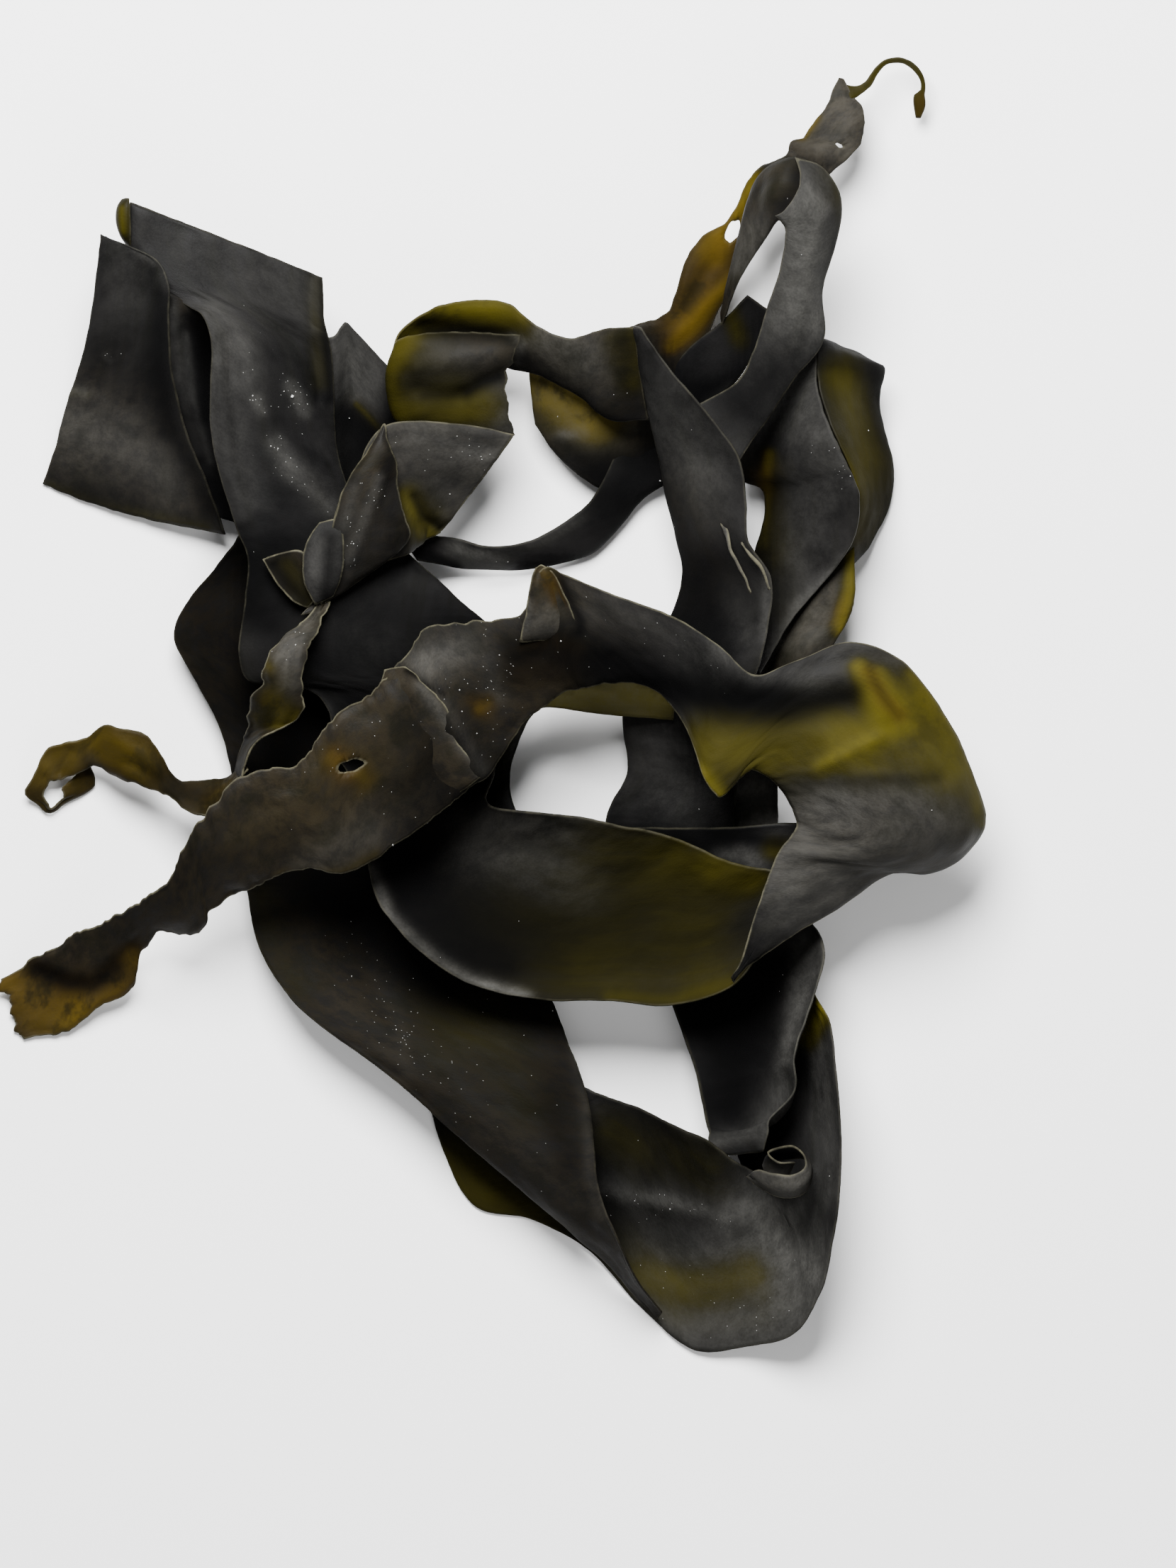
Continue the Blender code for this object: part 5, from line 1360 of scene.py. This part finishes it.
class KelpColours(PropertyGroup):
    charcoal: colour_property("Charcoal", "The darkest dry blade", (0.0014, 0.00135, 0.0015))
    slate: colour_property("Slate", "Grey dry blade", (0.0062, 0.0059, 0.0058))
    green_black: colour_property("Green black", "Blade that dried green", (0.0025, 0.0026, 0.0010))
    brown: colour_property("Brown", "Old, frayed blade", (0.0118, 0.0088, 0.0040))
    # Olive and amber: painted light that comes through the thin blade, partly the blade's own
    # colour.
    olive: colour_property("Olive", "Thin blade", (0.0098, 0.0083, 0.0008))
    bright_olive: colour_property("Bright olive", "The thinnest blade", (0.040, 0.0335, 0.0018))
    rust: colour_property("Rust", "Thin brown blade", (0.0155, 0.0090, 0.0017))
    amber: colour_property("Amber", "The thinnest brown blade", (0.058, 0.035, 0.0020))
    # Painted shade: the near-black inside folds and hollows.
    shade_black: colour_property("Hollow", "Inside folds", (0.0005, 0.0005, 0.0006))
    # Salt film, also used as painted sheen.
    bloom_and_sheen: colour_property("Bloom", "Film of dry salt", (0.043, 0.0420, 0.0385))
    salt: colour_property("Salt", "Salt crystals", (0.55, 0.55, 0.53))
    # Pale torn edge, also a painted highlight along the edges.
    pale_edge_and_highlight: colour_property("Pale rim", "Torn edge of the blade", (0.062, 0.058, 0.038))


class KelpStage(PropertyGroup):
    floor_colour: colour_property("Floor", "Colour of the floor", (0.92, 0.92, 0.92))
    floor_width: size_property("Floor width", "Of the square floor", 8.0, 1.0, 20.0)
    key_power: FloatProperty(
        name="Key light", description="Power of the large soft light", default=96.0, min=0.0,
        unit="POWER",
    )
    fill_power: FloatProperty(
        name="Fill light", description="Power of the light from the front", default=12.0, min=0.0,
        unit="POWER",
    )
    sky: FloatProperty(name="Sky", description="Strength of the even light", default=0.25, min=0.0)


# ---------------------------------------------------------------- operators

def shared_blade_material():
    known = bpy.data.materials.get("dried_blade")
    return known or blade_material(bpy.context.scene.kelp_colours)


def make_straps(names):
    """Make the named straps and keep their ribbons, so that salt can be laid on them."""
    material = shared_blade_material()
    for name in names:
        RIBBONS.append(Ribbon(name, bpy.context.scene.kelp_sizes))
        ribbon_object(RIBBONS[-1], material)


class KELP_OT_cut_palm(Operator):
    """Make the broad cut flap, the pleat beside it and the palm with its hollow strap"""
    bl_idname = "kelp.cut_palm"
    bl_label = "Cut palm"

    def execute(self, context):
        make_straps(["left_flap", "pleat", "palm", "curled_corner"])
        return {"FINISHED"}


class KELP_OT_long_straps(Operator):
    """Make the long strap on the left and the lower loop that it runs into"""
    bl_idname = "kelp.long_straps"
    bl_label = "Long strap and lower loop"

    def execute(self, context):
        make_straps(["long_strap", "lower_loop", "knot_lip"])
        return {"FINISHED"}


class KELP_OT_top_blade(Operator):
    """Make the frayed blade on top with its ridge, its hole and its big loop"""
    bl_idname = "kelp.top_blade"
    bl_label = "Top blade"

    def execute(self, context):
        make_straps(["top_blade", "corner_fold", "ridge_flap"])
        return {"FINISHED"}


class KELP_OT_middle_straps(Operator):
    """Make the strap through the middle and the thin straps behind it"""
    bl_idname = "kelp.middle_straps"
    bl_label = "Middle straps"

    def execute(self, context):
        make_straps([
            "middle_strap", "torn_flake_long", "torn_flake_short", "cross_strap", "back_band",
            "under_band",
        ])
        return {"FINISHED"}


class KELP_OT_arch(Operator):
    """Make the arched strap, the dark strap behind it and the amber strip with its tail"""
    bl_idname = "kelp.arch"
    bl_label = "Arch and amber strip"

    def execute(self, context):
        make_straps(["arch", "arch_leg", "dark_strap", "amber_strip", "tail"])
        return {"FINISHED"}


class KELP_OT_right_strap(Operator):
    """Make the broad strap on the right with its ridge"""
    bl_idname = "kelp.right_strap"
    bl_label = "Right strap"

    def execute(self, context):
        make_straps([
            "right_strap_front", "right_strap_outer", "right_strap_ridge", "right_strap_lower",
        ])
        return {"FINISHED"}


class KELP_OT_hood(Operator):
    """Make the hood that folds over on itself and the flap behind it"""
    bl_idname = "kelp.hood"
    bl_label = "Hood"

    def execute(self, context):
        make_straps(["hood", "back_flap"])
        return {"FINISHED"}


class KELP_OT_front_leaf(Operator):
    """Make the pale-edged leaf with its frayed tail, and the small leaves at its foot"""
    bl_idname = "kelp.front_leaf"
    bl_label = "Front leaf"

    def execute(self, context):
        make_straps([
            "front_leaf", "leaf_fold", "frayed_strand", "curled_tail", "side_lobe", "small_leaf",
        ])
        return {"FINISHED"}


class KELP_OT_salt_crystals(Operator):
    """Scatter salt crystals over the straps, most where the salt is thickest"""
    bl_idname = "kelp.salt_crystals"
    bl_label = "Salt crystals"

    def execute(self, context):
        sizes = context.scene.kelp_sizes
        if not RIBBONS:
            raise RuntimeError("make the straps before the salt")
        points, faces = scattered_crystals(sizes)
        obj = new_mesh_object("salt_crystals", points + STATION_SHIFT, faces, smooth=False)
        obj.data.materials.append(salt_material(context.scene.kelp_colours))
        finish_piece(obj)
        return {"FINISHED"}


def scattered_crystals(sizes):
    """Small uneven blocks that sit on the side of the blade that faces up."""
    rng = np.random.default_rng(SALT_SEED)
    spots, facing, weight = [], [], []
    for ribbon in RIBBONS:
        cell = np.gradient(ribbon.along) * (ribbon.width / (len(ribbon.share) - 1))
        cell = np.broadcast_to(cell[:, None], ribbon.u.shape)
        chance = cell * (0.002 + ribbon.tones["salt"] ** 2) * (ribbon.rim > CLEAR_RIM)
        side = np.where(ribbon.normal[:, :, 2:] < 0, -1.0, 1.0)
        spots.append(ribbon.surface.reshape(-1, 3))
        facing.append((ribbon.normal * side).reshape(-1, 3))
        weight.append(chance.ravel())
    spots, facing, weight = np.vstack(spots), np.vstack(facing), np.concatenate(weight)
    picked = rng.choice(len(spots), sizes.crystal_count, replace=False, p=weight / weight.sum())
    block = np.array([(x, y, z) for z in (-1, 1) for y in (-1, 1) for x in (-1, 1)], dtype=float)
    sides = np.array([
        (0, 2, 3, 1), (4, 5, 7, 6), (0, 1, 5, 4), (2, 6, 7, 3), (0, 4, 6, 2), (1, 3, 7, 5),
    ])
    size = sizes.crystal_size / MM * np.exp(rng.normal(0, 0.4, sizes.crystal_count))
    size = np.clip(size, SMALLEST_CRYSTAL, LARGEST_CRYSTAL)
    points, faces = [], []
    for number, spot in enumerate(picked):
        turn = np.linalg.qr(rng.normal(size=(3, 3)))[0]
        if np.linalg.det(turn) < 0:
            turn[0] = -turn[0]
        uneven = block * rng.uniform(0.6, 1.0, 3) + rng.normal(0, 0.08, block.shape)
        lift = 0.5 * sizes.thickness / MM + 0.25 * size[number]
        stray = np.append(rng.normal(0, CRYSTAL_SCATTER, 2), 0.0)
        middle = spots[spot] + lift * facing[spot] + stray
        points.append(middle + 0.5 * size[number] * uneven @ turn)
        faces.append(sides + 8 * number)
    return np.vstack(points), np.vstack(faces)


class KELP_OT_stage(Operator):
    """Make the floor, the soft lights and the camera straight above"""
    bl_idname = "kelp.stage"
    bl_label = "Stage"

    def execute(self, context):
        stage = context.scene.kelp_stage
        make_floor(stage)
        make_lights(stage)
        make_camera()
        return {"FINISHED"}


def make_floor(stage):
    half = 0.5 * stage.floor_width
    corners = np.array([(-half, -half, 0), (half, -half, 0), (half, half, 0), (-half, half, 0)])
    corners[:, 2] = CAD_BOUNDS[0][2]
    floor = new_mesh_object("floor", corners / MM, np.array([(0, 1, 2, 3)]), smooth=False)
    floor.data.materials.append(floor_material(stage))


def make_area_light(name, place, width, power):
    """A soft round light that shines at the middle of the frond."""
    light = bpy.data.lights.new(name, "AREA")
    light.shape = "DISK"
    light.size = width
    light.energy = power
    obj = bpy.data.objects.new(name, light)
    obj.location = place
    obj.rotation_euler = (-Vector(place)).to_track_quat("-Z", "Y").to_euler()
    bpy.context.scene.collection.objects.link(obj)


def make_lights(stage):
    make_area_light("key_light", KEY_PLACE, KEY_WIDTH, stage.key_power)
    make_area_light("fill_light", FILL_PLACE, FILL_WIDTH, stage.fill_power)
    world = bpy.data.worlds.new("even_light")
    world.use_nodes = True
    background = world.node_tree.nodes["Background"]
    background.inputs["Color"].default_value = (1.0, 1.0, 1.0, 1.0)
    background.inputs["Strength"].default_value = stage.sky
    bpy.context.scene.world = world


def make_camera():
    camera = bpy.data.cameras.new("camera")
    camera.type = "ORTHO"
    camera.ortho_scale = VIEW_HEIGHT
    obj = bpy.data.objects.new("camera", camera)
    obj.location = (*VIEW_MIDDLE, CAMERA_HEIGHT)
    bpy.context.scene.collection.objects.link(obj)
    bpy.context.scene.camera = obj


# ---------------------------------------------------------------- panel and start

OPERATORS = [
    KELP_OT_cut_palm, KELP_OT_long_straps, KELP_OT_top_blade, KELP_OT_middle_straps,
    KELP_OT_arch, KELP_OT_right_strap, KELP_OT_hood, KELP_OT_front_leaf,
    KELP_OT_salt_crystals, KELP_OT_stage,
]


class KELP_PT_panel(Panel):
    bl_label = "Dried kelp frond"
    bl_idname = "KELP_PT_panel"
    bl_space_type = "VIEW_3D"
    bl_region_type = "UI"
    bl_category = "Kelp"

    def draw(self, context):
        layout = self.layout
        for settings in ("kelp_sizes", "kelp_colours", "kelp_stage"):
            group = getattr(context.scene, settings)
            for name in group.__annotations__:
                layout.prop(group, name)
        for operator in OPERATORS:
            layout.operator(operator.bl_idname)


SETTINGS = {"kelp_sizes": KelpSizes, "kelp_colours": KelpColours, "kelp_stage": KelpStage}


def register():
    for cls in (*SETTINGS.values(), *OPERATORS, KELP_PT_panel):
        bpy.utils.register_class(cls)
    for name, cls in SETTINGS.items():
        setattr(bpy.types.Scene, name, PointerProperty(type=cls))


def unregister():
    for name in SETTINGS:
        delattr(bpy.types.Scene, name)
    for cls in (KELP_PT_panel, *OPERATORS[::-1], *SETTINGS.values()):
        bpy.utils.unregister_class(cls)


def main():
    register()
    for name in (
        "cut_palm", "long_straps", "top_blade", "middle_straps", "arch", "right_strap",
        "hood", "front_leaf", "salt_crystals", "stage",
    ):
        getattr(bpy.ops.kelp, name)()


if __name__ == "__main__":
    main()
